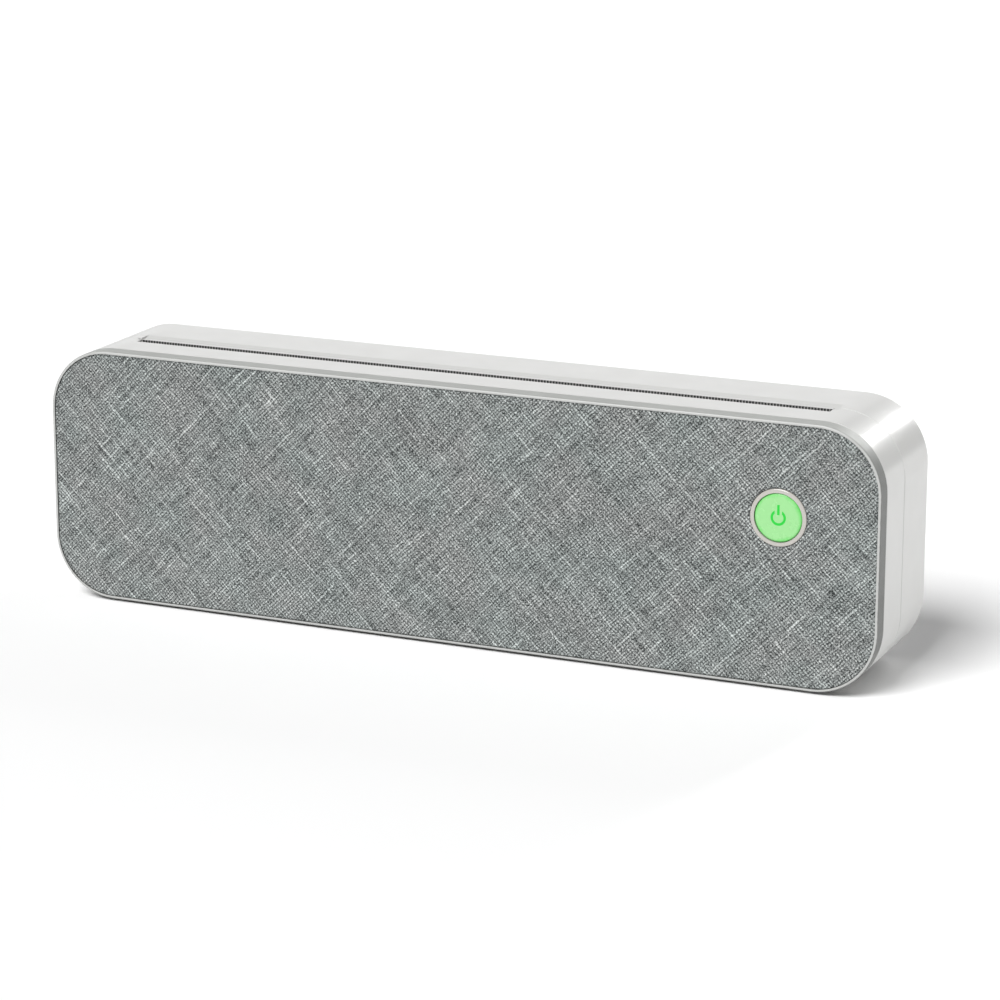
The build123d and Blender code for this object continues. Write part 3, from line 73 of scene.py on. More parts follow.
def share_setting(name, description, default, most=1.0):
    """A plain number that a user can change."""
    return bpy.props.FloatProperty(
        name=name, description=description, default=default, min=0.0, max=most, precision=3
    )


def colour_setting(name, description, default):
    """A linear colour that a user can change."""
    return bpy.props.FloatVectorProperty(
        name=name, description=description, default=default, size=3, min=0.0, max=1.0, subtype="COLOR"
    )


# ---------------------------------------------------------------- settings
class PrinterClothSettings(bpy.types.PropertyGroup):
    """Sizes and colours of the cloth front."""

    corner_radius: length_setting("Corner radius", "Radius of the cloth's corners", 0.0176)
    hole_radius: length_setting("Hole radius", "Radius of the hole round the button's bezel", 0.0082)
    roll_width: length_setting("Rolled edge width", "Width over which the edge rolls back", 0.0007)
    roll_depth: length_setting("Rolled edge depth", "How far the edge rolls back", 0.00012)
    hole_roll: length_setting("Hole roll", "Width and depth of the roll round the button", 0.0003)
    relief: length_setting("Relief", "Height of the cloth's slow unevenness", 0.00006)
    thread_pitch: length_setting("Thread pitch", "Distance from one thread to the next", 0.00086)
    slub_length: length_setting("Slub length", "Length over which a thread keeps its shade", 0.013)
    thread_height: length_setting("Thread height", "Height of the threads over the gaps", 0.00015)
    pale_yarn: colour_setting("Pale yarn", "Colour of the palest threads", (0.66, 0.69, 0.685))
    dark_yarn: colour_setting("Dark yarn", "Colour of the darkest threads", (0.012, 0.015, 0.015))


class PrinterShellSettings(bpy.types.PropertyGroup):
    """Colours of the moulded shell, its trim and its feet."""

    white: colour_setting("White", "Colour of the white housing", (0.592, 0.592, 0.58))
    trim: colour_setting("Trim", "Colour of the silver-grey trim ring", (0.27, 0.275, 0.265))
    trim_edge: colour_setting("Trim edge", "Colour of the trim's bright front edge", (0.43, 0.435, 0.425))
    slider: colour_setting("Slider", "Colour of the release slider", (0.32, 0.33, 0.33))
    rubber: colour_setting("Rubber", "Colour of the feet", (0.018, 0.018, 0.019))
    gloss: share_setting("Gloss", "Strength of the clear skin on the white housing", 0.32)


class PrinterButtonSettings(bpy.types.PropertyGroup):
    """Colours of the power button."""

    bezel: colour_setting("Bezel", "Colour of the ring round the lens", (0.44, 0.42, 0.39))
    lens: colour_setting("Lens", "Colour of the lit lens", (0.245, 0.55, 0.215))
    rim: colour_setting("Rim", "Colour of the lens along its edge", (0.12, 0.52, 0.11))
    mark: colour_setting("Mark", "Colour of the standby mark", (0.008, 0.46, 0.03))
    glow: share_setting("Glow", "Light that the lens gives off", 0.15)


class PrinterStageSettings(bpy.types.PropertyGroup):
    """The studio: floor, lights and camera."""

    floor_radius: length_setting("Floor radius", "Radius of the pale floor", 4.0)
    floor_colour: colour_setting("Floor colour", "Colour of the pale floor", (0.945, 0.945, 0.945))
    dome: share_setting("Dome", "Strength of the even light all round", 0.105, 4.0)
    key: share_setting("Key", "Strength of the wide light at the upper left in front", 3.75, 50.0)
    side_power: share_setting("Side power", "Watts of the low soft light at the right", 5.3, 500.0)
    back_power: share_setting("Back power", "Watts of the low wide light behind", 5.5, 500.0)
    strip_power: share_setting("Strip power", "Watts of the narrow light behind", 4.6, 500.0)
    lens_length: share_setting("Lens", "Focal length in millimetres on a 36 mm sensor", 126.446, 500.0)


# ---------------------------------------------------------------- materials from nodes
USUAL_NOISE = (0.3, 0.7)


class Finish:
    """A node material: its shader, its place in millimetres and short calls for the nodes in between.
    A value given to one of these calls is a number, or the output of another call."""

    def __init__(self, name, **fixed):
        """A new material. The sockets to fix are written with _ in place of each space."""
        self.material = bpy.data.materials.new(name)
        self.material.use_nodes = True
        self.tree = self.material.node_tree
        self.shader = self.tree.nodes["Principled BSDF"]
        for socket, value in fixed.items():
            self.shader.inputs[socket.replace("_", " ")].default_value = value
        coordinates = self.tree.nodes.new("ShaderNodeTexCoord")
        self.sheet = coordinates.outputs["UV"]
        self.place = self.stretch(coordinates.outputs["Object"], (1 / MILLIMETRE,) * 3)

    def feed(self, socket, value):
        """Links a socket to value, or sets it to value."""
        if isinstance(value, bpy.types.NodeSocket):
            self.tree.links.new(value, socket)
        else:
            socket.default_value = value

    def add(self, kind, inputs, **settings):
        """A new node with these settings, fed with these inputs."""
        node = self.tree.nodes.new(kind)
        for key, value in settings.items():
            setattr(node, key, value)
        for key, value in inputs.items():
            self.feed(node.inputs[key], value)
        return node

    def stretch(self, place, scale):
        """The place scaled along X, Y and Z."""
        return self.add("ShaderNodeMapping", {"Vector": place, "Scale": scale}).outputs[0]

    def work(self, operation, *values):
        """One step of arithmetic, under the name that Blender gives it."""
        return self.add("ShaderNodeMath", dict(enumerate(values)), operation=operation).outputs[0]

    def plus(self, first, second):
        """The two values added."""
        return self.work("ADD", first, second)

    def minus(self, first, second):
        """The second value taken from the first."""
        return self.work("SUBTRACT", first, second)

    def times(self, first, second):
        """The two values multiplied."""
        return self.work("MULTIPLY", first, second)

    def split(self, place):
        """The X, Y and Z of a place."""
        return self.add("ShaderNodeSeparateXYZ", {"Vector": place}).outputs

    def join(self, x, y, z=0.0):
        """A place from its X, Y and Z."""
        return self.add("ShaderNodeCombineXYZ", {"X": x, "Y": y, "Z": z}).outputs[0]

    def noise(self, place, scale, detail=2.0, rough=0.5):
        """Soft noise from 0 to 1, with about scale lumps to each unit of place."""
        inputs = {"Vector": place, "Scale": scale, "Detail": detail, "Roughness": rough}
        return self.add("ShaderNodeTexNoise", inputs).outputs[0]

    def cells(self, place, scale, output="Color"):
        """Voronoi cells, with about scale cells to each unit of place."""
        return self.add("ShaderNodeTexVoronoi", {"Vector": place, "Scale": scale}).outputs[output]

    def dice(self, place):
        """An unrelated number from 0 to 1 for each different place."""
        return self.add("ShaderNodeTexWhiteNoise", {"Vector": place}).outputs["Value"]

    def fit(self, value, low, high, to_low=0.0, to_high=1.0):
        """The value taken from one range to another."""
        inputs = {"Value": value, "From Min": low, "From Max": high, "To Min": to_low, "To Max": to_high}
        return self.add("ShaderNodeMapRange", inputs).outputs[0]

    def wander(self, noise, to_low, to_high):
        """Noise taken to another range, from the range that it mostly keeps to."""
        return self.fit(noise, *USUAL_NOISE, to_low, to_high)

    def blend(self, share, first, second, how="MIX"):
        """Two colours mixed by share. The colour mix's sockets have numbers, because its names repeat."""
        first = first if isinstance(first, bpy.types.NodeSocket) else (*first, 1.0)
        second = second if isinstance(second, bpy.types.NodeSocket) else (*second, 1.0)
        inputs = {0: share, 6: first, 7: second}
        return self.add("ShaderNodeMix", inputs, data_type="RGBA", blend_type=how).outputs[2]

    def colour(self, value):
        """Feeds the shader's colour."""
        self.feed(self.shader.inputs["Base Color"], value)

    def rough(self, value):
        """Feeds the shader's roughness."""
        self.feed(self.shader.inputs["Roughness"], value)

    def bump(self, height, distance, strength=1.0):
        """Feeds the shader's normal with a height from 0 to 1 that stands distance tall, in metres."""
        inputs = {"Height": height, "Distance": distance, "Strength": strength}
        self.feed(self.shader.inputs["Normal"], self.add("ShaderNodeBump", inputs).outputs[0])


def shade(colour, factor):
    """The colour made paler or darker by factor."""
    return tuple(min(1.0, part * factor) for part in colour)


def moulded_surface(name, rough, grain, grain_height=10 * MICRON, **fixed):
    """Moulded plastic before its colour: patches of gloss and a fine spark-eroded grain, with about grain
    lumps to a millimetre."""
    finish = Finish(name, **fixed)
    patches = finish.noise(finish.place, scale=0.12)
    finish.rough(finish.wander(patches, rough * 0.88, rough * 1.12))
    finish.bump(finish.noise(finish.place, grain, detail=3.0), grain_height)
    return finish


def moulding(name, colour, mottle=0.04, **surface):
    """Moulded plastic whose colour drifts slowly, paler and darker by the share in mottle."""
    finish = moulded_surface(name, **surface)
    drift = finish.noise(finish.place, scale=0.035, detail=3.0)
    finish.colour(finish.blend(drift, shade(colour, 1 - mottle), shade(colour, 1 + mottle)))
    return finish


def steel(name, colour, rough, lines):
    """Bare metal with cloudy gloss. Its fine lines run along the axis whose scale in lines is the least."""
    finish = Finish(name, Metallic=1.0)
    brushed = finish.noise(finish.stretch(finish.place, lines), scale=1.0, detail=3.0, rough=0.6)
    finish.colour(finish.blend(brushed, shade(colour, 0.86), shade(colour, 1.08)))
    clouds = finish.noise(finish.place, scale=0.25)
    finish.rough(finish.wander(clouds, rough * 0.8, rough * 1.25))
    finish.bump(brushed, 4 * MICRON)
    return finish


def rubber(name, colour, lines=(1.0, 1.0, 1.0)):
    """Matte rubber with a fine ground surface and pale dust in its pores. Where the scales in lines differ,
    the ground marks run along the axes whose scale is the least."""
    finish = Finish(name, Specular_IOR_Level=0.35)
    ground = finish.noise(finish.stretch(finish.place, lines), scale=5.0, detail=4.0, rough=0.65)
    finish.colour(finish.blend(finish.fit(ground, 0.45, 0.8), colour, shade(colour, 2.4)))
    finish.rough(finish.fit(ground, 0.2, 0.8, to_low=0.62, to_high=0.85))
    finish.bump(ground, 20 * MICRON)
    return finish


# ---------------------------------------------------------------- shell finishes
def white_shell(settings):
    """Satin white ABS under a thin clear skin."""
    finish = moulding(
        "white_shell", settings.white, rough=0.36, grain=0.9, grain_height=1.2 * MICRON, mottle=0.006,
        Specular_IOR_Level=0.2, Coat_Weight=settings.gloss, Coat_Roughness=0.1,
    )
    return finish.material


# Distances are in millimetres. The shades multiply the trim's colour, and the flakes' strength is a share.
TRIM_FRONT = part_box("trim_ring")[0][1] / MILLIMETRE
BARE_EDGE = 0.14
BARE_EDGE_FADE = 0.06
# The next five values set painted light that makes the trim paler towards its top, from a wandering start
# height, and painted shade that keeps it darker low down.
TOP_LIGHT_STARTS = 60.0
TOP_LIGHT_FULL = 76.0
TOP_LIGHT_WANDER = 3.0
LOW_PAINTED_SHADE = 0.50
TOP_PAINTED_LIGHT = 1.66
FLAKE_SHADE = 2.2
FLAKE_STRENGTH = 0.12
PAINT_METALLIC = 0.3


def grey_trim(settings):
    """Silver paint with fine flakes that catch the light one by one, painted paler towards the top as
    painted light and darker low down as painted shade, and a paler bare edge round the front that also
    carries a
    painted highlight: the paint stops where the edge turns forwards."""
    finish = Finish("grey_trim")
    sparkle = finish.split(finish.cells(finish.place, scale=14.0))[0]
    _, depth, height = finish.split(finish.place)
    # Painted light and shade: the trim is painted paler towards its top and darker low down.
    lift = finish.fit(finish.noise(finish.place, scale=0.08), 0.0, 1.0, -TOP_LIGHT_WANDER, TOP_LIGHT_WANDER)
    painted_top_light = finish.fit(finish.plus(height, lift), TOP_LIGHT_STARTS, TOP_LIGHT_FULL)
    ragged = finish.wander(finish.noise(finish.place, scale=0.9), -0.03, 0.03)
    # The front edge is paler bare metal and is also painted brighter as a highlight along the lip.
    paint_end = TRIM_FRONT + BARE_EDGE
    painted = finish.fit(finish.plus(depth, ragged), paint_end - BARE_EDGE_FADE, paint_end + BARE_EDGE_FADE)
    paint = finish.blend(painted_top_light, shade(settings.trim, LOW_PAINTED_SHADE), shade(settings.trim, TOP_PAINTED_LIGHT))
    flakes = finish.times(sparkle, FLAKE_STRENGTH)
    paint = finish.blend(flakes, paint, shade(settings.trim, FLAKE_SHADE))
    cut = finish.blend(sparkle, shade(settings.trim_edge, 0.98), shade(settings.trim_edge, 1.01))
    finish.colour(finish.blend(painted, cut, paint))
    finish.feed(finish.shader.inputs["Metallic"], finish.times(painted, PAINT_METALLIC))
    cloud = finish.wander(finish.noise(finish.place, scale=0.3), -0.03, 0.03)
    finish.rough(finish.plus(cloud, finish.fit(painted, 0.0, 1.0, to_low=0.45, to_high=0.5)))
    finish.bump(finish.noise(finish.place, scale=6.0, detail=3.0), 2 * MICRON)
    return finish.material


def grey_slider(settings):
    """The release slider's finely grained grey plastic."""
    return moulding("grey_slider", settings.slider, rough=0.5, grain=7.0).material


def foot_rubber(settings):
    """The feet's soft black rubber."""
    return rubber("foot_rubber", settings.rubber).material


# ---------------------------------------------------------------- cloth
# The weave's lengths are in threads. A shade runs from -1, the darkest yarn, to 1, the palest.
BIAS = math.sqrt(0.5)
THREAD_BEND = 1.0
THREAD_SWAY = 0.8
THREAD_SHAKE = 0.45
SPACING_CHANGE = 0.62
SPACING_REACH = 1.1
ROWS_APART = 7.31
EVEN_LIFT = 4000.0
# The next four values shape the weave's painted light and shade: a painted highlight on each crossing's
# crown and painted shade in the gaps round it, deeper in some places than in others.
CROWN_LIGHT_FULL = 0.9
CROWN_PAINTED_LIGHT = 0.75
LEAST_GAP_SHADE = 0.7
MOST_GAP_SHADE = 1.15
HAIR_THINNESS = 3.5
# The first strength below is that of the painted gap shade and crown highlight.
GAP_SHADE_STRENGTH = 0.24
TOP_STRENGTH = 0.02
OWN_STRENGTH = 0.06
HAIR_STRENGTH = 0.23
FIBRE_STRENGTH = 0.28
MIDDLE_TONE = 0.452
CONTRAST = 1.5
WARM_TINT = (1.0, 0.985, 0.975)
COOL_TINT = (0.965, 1.0, 0.985)


def melange_cloth(settings, width, height):
    """Plain weave on the bias. Two sets of threads, rising and falling, cross at right angles and take turns
    on top. Painted shade darkens the gap round every crossing and a painted highlight brightens each crown.
    The threads bend a little and lie unevenly far apart, and the painted gap shade is deeper in some places
    than in others. Each thread drifts between pale and dark along its length and shows as a hairline where
    it is palest or darkest, each crossing is a little paler or darker than its neighbours, and loose fibres
    lie over them all. The map on the cloth gives the place on the flat cut, from 0 to 1 each way."""
    finish = Finish("melange_cloth", Sheen_Weight=0.06, Sheen_Roughness=0.5, Specular_IOR_Level=0.15)
    pitch = settings.thread_pitch
    flat = finish.stretch(finish.sheet, (width / pitch, height / pitch, 1.0))
    across, along, _ = finish.split(flat)
    bend = finish.fit(finish.noise(flat, scale=0.03), 0.0, 1.0, -THREAD_BEND, THREAD_BEND)
    sway = finish.fit(finish.noise(flat, scale=0.05), 0.0, 1.0, -THREAD_SWAY, THREAD_SWAY)
    rise = finish.plus(finish.times(finish.plus(across, along), BIAS), bend)
    fall = finish.plus(finish.times(finish.minus(across, along), BIAS), sway)
    shake = finish.fit(finish.noise(flat, scale=0.45), 0.0, 1.0, -THREAD_SHAKE, THREAD_SHAKE)

    def spread(run, seed):
        """Uneven spacing from thread to thread."""
        place = finish.join(finish.times(run, SPACING_CHANGE), seed)
        uneven = finish.noise(place, scale=1.0, detail=1.0)
        return finish.plus(finish.plus(run, finish.times(uneven, SPACING_REACH)), shake)

    rise = spread(rise, 2.0)
    fall = spread(fall, 9.0)
    rise_row = finish.work("FLOOR", rise)
    fall_row = finish.work("FLOOR", fall)
    slub = pitch / settings.slub_length

    def yarn(row, run, seed):
        """The shade of one set of threads: slow along the thread, unrelated from row to row."""
        place = finish.join(finish.times(run, slub), finish.times(row, ROWS_APART), seed)
        return finish.wander(finish.noise(place, scale=1.0), -1.0, 1.0)

    def crown(run):
        """The rounded height across a thread, 4 x part x (1 - part): 1 in its middle and 0 at the gap."""
        part = finish.work("FRACT", run)
        return finish.times(finish.times(part, finish.minus(1.0, part)), 4.0)

    rising = yarn(fall_row, rise, 3.0)
    falling = yarn(rise_row, fall, 11.0)
    rise_crown = crown(rise)
    fall_crown = crown(fall)
    knuckle = finish.times(rise_crown, fall_crown)
    over = finish.work("MODULO", finish.plus(finish.plus(rise_row, fall_row), EVEN_LIFT), 2.0)
    under = finish.minus(1.0, over)
    top = finish.plus(finish.times(over, rising), finish.times(under, falling))
    own = finish.fit(finish.dice(finish.join(rise_row, fall_row, 5.0)), 0.0, 1.0, -1.0, 1.0)
    # Painted shade in the gaps round each crossing and a painted highlight on its crown, deeper in some
    # places than in others.
    gap_shade_depth = finish.wander(finish.noise(flat, scale=0.2, rough=0.6), LEAST_GAP_SHADE, MOST_GAP_SHADE)
    dots = finish.times(finish.fit(knuckle, 0.0, CROWN_LIGHT_FULL, -1.0, CROWN_PAINTED_LIGHT), gap_shade_depth)

    def line(shades, crown_across):
        """Hairlines along the palest and darkest threads: the shade squared with its sign kept, and thinned
        by a power of the height across the thread."""
        far = finish.work("POWER", finish.work("ABSOLUTE", shades), 2.0)
        signed = finish.times(far, finish.work("SIGN", shades))
        return finish.times(signed, finish.work("POWER", crown_across, HAIR_THINNESS))

    hair = finish.plus(line(rising, fall_crown), line(falling, rise_crown))
    fibres = finish.wander(finish.noise(flat, scale=1.9, detail=1.0, rough=0.6), -1.0, 1.0)
    tone = finish.times(dots, GAP_SHADE_STRENGTH)
    parts = ((top, TOP_STRENGTH), (own, OWN_STRENGTH), (hair, HAIR_STRENGTH), (fibres, FIBRE_STRENGTH))
    for part, strength in parts:
        tone = finish.plus(tone, finish.times(part, strength))
    tone = finish.plus(tone, MIDDLE_TONE)
    share = finish.work("POWER", finish.fit(tone, 0.0, 1.0), CONTRAST)
    colour = finish.blend(share, tuple(settings.dark_yarn), tuple(settings.pale_yarn))
    coolness = finish.fit(finish.noise(flat, scale=0.05), 0.35, 0.65)
    tint = finish.blend(coolness, WARM_TINT, COOL_TINT)
    finish.colour(finish.blend(1.0, colour, tint, "MULTIPLY"))
    finish.rough(finish.fit(top, -1.0, 1.0, to_low=0.95, to_high=0.8))
    finish.bump(knuckle, settings.thread_height, strength=0.6)
    return finish.material


def rounded_outline(half_width, half_height, radius, count):
    """Points on a rounded rectangle and their outward directions, evenly spaced by length. The outline runs
    through four straight sides and four quarter circles: on a side the point slides from one corner's
    centre to the next, in a corner its direction turns by a right angle, and the point always lies radius
    outwards from that centre."""
    centres = np.array([[1, -1], [1, 1], [-1, 1], [-1, -1]]) * [half_width - radius, half_height - radius]
    sides = np.linalg.norm(np.roll(centres, -1, axis=0) - centres, axis=1)
    lengths = np.stack([sides, np.full(4, math.pi * radius / 2)], axis=1).ravel()
    ends = np.cumsum(lengths)
    travelled = np.arange(count) / count * ends[-1]
    stretch = np.searchsorted(ends, travelled, side="right")
    share = (travelled - (ends - lengths)[stretch]) / lengths[stretch]
    side, turning = stretch // 2, stretch % 2
    here, ahead = centres[side], centres[(side + 1) % 4]
    centre = here + (ahead - here) * np.where(turning, 1.0, share)[:, None]
    angle = math.pi / 2 * (side + np.where(turning, share, 0.0))
    outwards = np.stack([np.cos(angle), np.sin(angle)], axis=1)
    return centre + radius * outwards, outwards


# Each wave's length along X and along Z in metres, its start as an angle, and its part of the height.
CLOTH_WAVES = ((0.083, 0.21, 0.0, 0.5), (-0.147, 0.061, 1.3, 0.3), (0.037, 0.043, 2.1, 0.2))


def slow_waves(x, z, height):
    """A gentle unevenness: three sine waves of unlike lengths and directions, added."""
    waves = (
        part * np.sin(2 * math.pi * (x / length_x + z / length_z) + start)
        for length_x, length_z, start, part in CLOTH_WAVES
    )
    return height * sum(waves)


def ring_faces(rows, count):
    """Quads of a grid of points that closes on itself both ways, as the numbers of their corners."""
    row, column = np.meshgrid(np.arange(rows), np.arange(count), indexing="ij")
    below, beside = (row + 1) % rows, (column + 1) % count
    corners = [row * count + column, below * count + column, below * count + beside, row * count + beside]
    return np.stack(corners, axis=-1).reshape(-1, 4)


def mesh_object(name, points, faces, material):
    """A smooth mesh object at the origin."""
    mesh = bpy.data.meshes.new(name)
    mesh.from_pydata(points.tolist(), [], faces.tolist())
    mesh.polygons.foreach_set("use_smooth", np.ones(len(faces), dtype=bool))
    mesh.materials.append(material)
    mesh.update()
    made = bpy.data.objects.new(name, mesh)
    bpy.context.scene.collection.objects.link(made)
    return made


ROLL_POINTS = 9
FACE_POINTS = 70
BACK_POINTS = 12
OUTLINE_POINTS = 640
WAVES_FADE = 6.0


def cloth_profile(settings, thickness):
    """The section of the cloth from its hole to its outer edge and back, as (share, inset, depth): share is
    0 at the hole and 1 at the outline, inset is how far the point lies in from that edge, and depth how far
    it lies behind the front. Both edges follow a quarter of an ellipse."""
    hole, wide, deep = settings.hole_roll, settings.roll_width, settings.roll_depth
    turn = np.linspace(0, math.pi / 2, ROLL_POINTS)
    lip = [np.zeros(ROLL_POINTS), hole * (1 - np.cos(turn)), hole * (1 - np.sin(turn))]
    share = np.linspace(0, 1, FACE_POINTS + 2)[1:-1]
    face = [share, hole * (1 - share) + wide * share, np.zeros(FACE_POINTS)]
    roll = [np.ones(ROLL_POINTS), wide * (1 - np.sin(turn)), deep * (1 - np.cos(turn))]
    back = [np.linspace(1, 0, BACK_POINTS), np.zeros(BACK_POINTS), np.full(BACK_POINTS, thickness)]
    return np.concatenate([np.stack(part, axis=1) for part in (lip, face, roll, back)])


def cloth_surface(settings, middle, width, height):
    """The points of the cloth as a grid, section by outline. Each point of the outline is joined to the hole
    by a straight line that points away from the button's centre, and the section is laid along that line:
    place = hole point + share x (outline point - hole point), less the inset along the line. The front also
    carries slow waves that fade out at both edges."""
    front, back = CLOTH_LOW[1], CLOTH_HIGH[1]
    outline, outwards = rounded_outline(width / 2, height / 2, settings.corner_radius, OUTLINE_POINTS)
    outline = outline + middle
    button = np.array([BUTTON_X, BUTTON_Z])
    away = outline - button
    away = away / np.linalg.norm(away, axis=1, keepdims=True)
    hole = button + settings.hole_radius * away
    section = cloth_profile(settings, back - front)
    share, inset, depth = (section[:, i][:, None] for i in range(3))
    near_hole = (share < 0.5) * inset * (1 - 2 * np.minimum(share, 0.5))
    near_edge = (share > 0.5) * inset * np.clip(2 * share - 1, 0, 1)
    flat = (
        hole[None] * (1 - share[..., None])
        + outline[None] * share[..., None]
        + away[None] * near_hole[..., None]
        - outwards[None] * near_edge[..., None]
    )
    fade = np.clip(np.minimum(share, 1 - share) * WAVES_FADE, 0, 1) * (depth == 0)
    lift = slow_waves(flat[..., 0], flat[..., 1], settings.relief) * fade
    y = front + depth + settings.relief + lift
    y = np.where(depth >= back - front, back, y)
    return np.stack([flat[..., 0], y, flat[..., 1]], axis=-1)


def cloth_front(settings):
    """The cloth as one closed surface, with a map of its flat cut, in place of the CAD's plain cover."""
    width, height = (CLOTH_HIGH[0] - CLOTH_LOW[0]), (CLOTH_HIGH[2] - CLOTH_LOW[2])
    middle = np.array([CLOTH_LOW[0] + CLOTH_HIGH[0], CLOTH_LOW[2] + CLOTH_HIGH[2]]) / 2
    grid = cloth_surface(settings, middle, width, height)
    points = grid.reshape(-1, 3)
    faces = ring_faces(*grid.shape[:2])[:, ::-1]
    cloth = mesh_object("cloth_front", points, faces, melange_cloth(settings, width, height))
    corners = np.empty(len(cloth.data.loops), dtype=np.int32)
    cloth.data.loops.foreach_get("vertex_index", corners)
    cut = (points[:, [0, 2]] - middle) / [width, height] + 0.5
    cloth.data.uv_layers.new(name="flat_cut").uv.foreach_set("vector", cut[corners].ravel())
    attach(cloth, "body")
    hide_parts("fabric_cover")


# ---------------------------------------------------------------- button finishes
def from_button(finish):
    """Distance from the button's centre in millimetres: the root of across squared plus up squared."""
    x, _, z = finish.split(finish.place)
    across = finish.minus(x, BUTTON_X / MILLIMETRE)
    up = finish.minus(z, BUTTON_Z / MILLIMETRE)
    squares = finish.plus(finish.times(across, across), finish.times(up, up))
    return finish.work("SQRT", squares)


def clear_grey_bezel(settings):
    """The smoked clear ring round the lens."""
    finish = moulding(
        "clear_grey_bezel", settings.bezel, rough=0.2, grain=3.0, grain_height=1 * MICRON, mottle=0.03,
        Coat_Weight=0.8, Coat_Roughness=0.05,
    )
    return finish.material


# Distances from the button's centre, in millimetres.
RIM_STARTS = 5.7
RIM_FULL = 6.75
RIM_WANDER = 0.35


def green_lens(settings):
    """The lit lens: pale in the middle, deeper green along its edge, with a soft glow."""
    finish = Finish("green_lens", Coat_Weight=0.6, Coat_Roughness=0.08, Emission_Strength=settings.glow)
    cloud = finish.wander(finish.noise(finish.place, scale=0.35), -RIM_WANDER, RIM_WANDER)
    edge = finish.fit(finish.plus(from_button(finish), cloud), RIM_STARTS, RIM_FULL)
    colour = finish.blend(edge, tuple(settings.lens), tuple(settings.rim))
    finish.colour(colour)
    finish.feed(finish.shader.inputs["Emission Color"], colour)
    finish.rough(finish.wander(finish.noise(finish.place, scale=0.5), 0.2, 0.3))
    finish.bump(finish.noise(finish.place, scale=3.0), 0.8 * MICRON)
    return finish.material


def dark_green_mark(settings):
    """The standby mark's green ink, slightly uneven and lit from behind."""
    finish = moulding(
        "dark_green_mark", settings.mark, rough=0.35, grain=8.0, mottle=0.08,
        Emission_Color=(*settings.mark, 1.0), Emission_Strength=settings.glow,
    )
    return finish.material


# ---------------------------------------------------------------- paper path and roll bay
def inner_plastic():
    """Dark grey inner mouldings with a coarse grain."""
    dark_grey = (0.045, 0.046, 0.048)
    return moulding("inner_plastic", dark_grey, rough=0.5, grain=3.5, grain_height=20 * MICRON).material


# The painted slot shade on the teeth and the painted shade at their roots fade out over these distances
# behind the points, in millimetres.
TEAR_BAR_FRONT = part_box("tear_bar")[0][1] / MILLIMETRE
TEETH_END = (0.10, 0.22)
ROOTS_END = (0.45, 0.60)


def tear_bar_plastic():
    """The tear bar's pale satin plastic, with the paper slot's shade painted black on its teeth and a
    painted grey shade at their roots.
    """
    finish = moulded_surface("tear_bar_plastic", rough=0.35, grain=5.0)
    _, depth, _ = finish.split(finish.place)
    black_to_grey = finish.fit(depth, *(TEAR_BAR_FRONT + distance for distance in TEETH_END))
    grey_to_pale = finish.fit(depth, *(TEAR_BAR_FRONT + distance for distance in ROOTS_END))
    # Painted shade of the paper slot: black on the teeth and a painted grey shade at their roots.
    slot_shade_on_teeth = finish.blend(finish.noise(finish.place, 0.8, 3.0), (0.006, 0.006, 0.007), (0.016, 0.016, 0.017))
    painted_root_shade = finish.blend(finish.noise(finish.place, 0.8, 3.0), (0.07, 0.07, 0.07), (0.12, 0.12, 0.12))
    bar = finish.blend(finish.noise(finish.place, 0.2), (0.57, 0.57, 0.56), (0.59, 0.59, 0.58))
    finish.colour(finish.blend(grey_to_pale, finish.blend(black_to_grey, slot_shade_on_teeth, painted_root_shade), bar))
    return finish.material


def platen_rubber():
    """The platen's rubber, ground in fine rings round the roller."""
    return rubber("platen_rubber", (0.014, 0.014, 0.015), lines=(3.0, 0.4, 0.4)).material


def head_aluminium():
    """Extruded aluminium with lines along the head."""
    return steel("head_aluminium", (0.62, 0.63, 0.64), rough=0.38, lines=(0.08, 5.0, 5.0)).material


def head_ceramic():
    """Fired ceramic with a fine speckle."""
    return moulding("head_ceramic", (0.70, 0.66, 0.55), rough=0.28, grain=9.0, mottle=0.05).material


HEATERS_PER_MILLIMETRE = 8.0
HEATER_GAP = 0.55


def head_glaze():
    """The brown glass bead with its row of heater dots, eight to a millimetre."""
    finish = Finish("head_glaze", Coat_Weight=1.0, Coat_Roughness=0.04, Roughness=0.12)
    x, _, _ = finish.split(finish.place)
    part = finish.work("FRACT", finish.times(x, HEATERS_PER_MILLIMETRE))
    dots = finish.work("GREATER_THAN", part, HEATER_GAP)
    cloud = finish.noise(finish.place, scale=0.6)
    brown = finish.blend(cloud, (0.10, 0.05, 0.025), (0.15, 0.08, 0.04))
    finish.colour(finish.blend(dots, brown, (0.045, 0.022, 0.012)))
    return finish.material


def spring_steel():
    """Bright spring wire."""
    return steel("spring_steel", (0.62, 0.62, 0.61), rough=0.22, lines=(3.0, 3.0, 3.0)).material


# ---------------------------------------------------------------- drive, frames and latch
def zinc_sheet():
    """Zinc-plated sheet with a soft spangle."""
    finish = Finish("zinc_sheet", Metallic=1.0)
    spangle = finish.split(finish.cells(finish.place, scale=0.45))[0]
    cloud = finish.noise(finish.place, scale=0.8, detail=3.0)
    share = finish.times(finish.plus(spangle, cloud), 0.5)
    finish.colour(finish.blend(share, (0.46, 0.47, 0.47), (0.66, 0.67, 0.66)))
    finish.rough(finish.fit(share, 0.2, 0.8, to_low=0.3, to_high=0.48))
    finish.bump(finish.noise(finish.place, scale=3.0, detail=3.0), 4 * MICRON)
    return finish.material


def pin_steel():
    """Ground pins and shafts, with fine rings round them."""
    return steel("pin_steel", (0.60, 0.60, 0.60), rough=0.2, lines=(8.0, 0.5, 0.5)).material


def screw_steel():
    """Black zinc screws."""
    return steel("screw_steel", (0.12, 0.12, 0.125), rough=0.34, lines=(4.0, 4.0, 4.0)).material


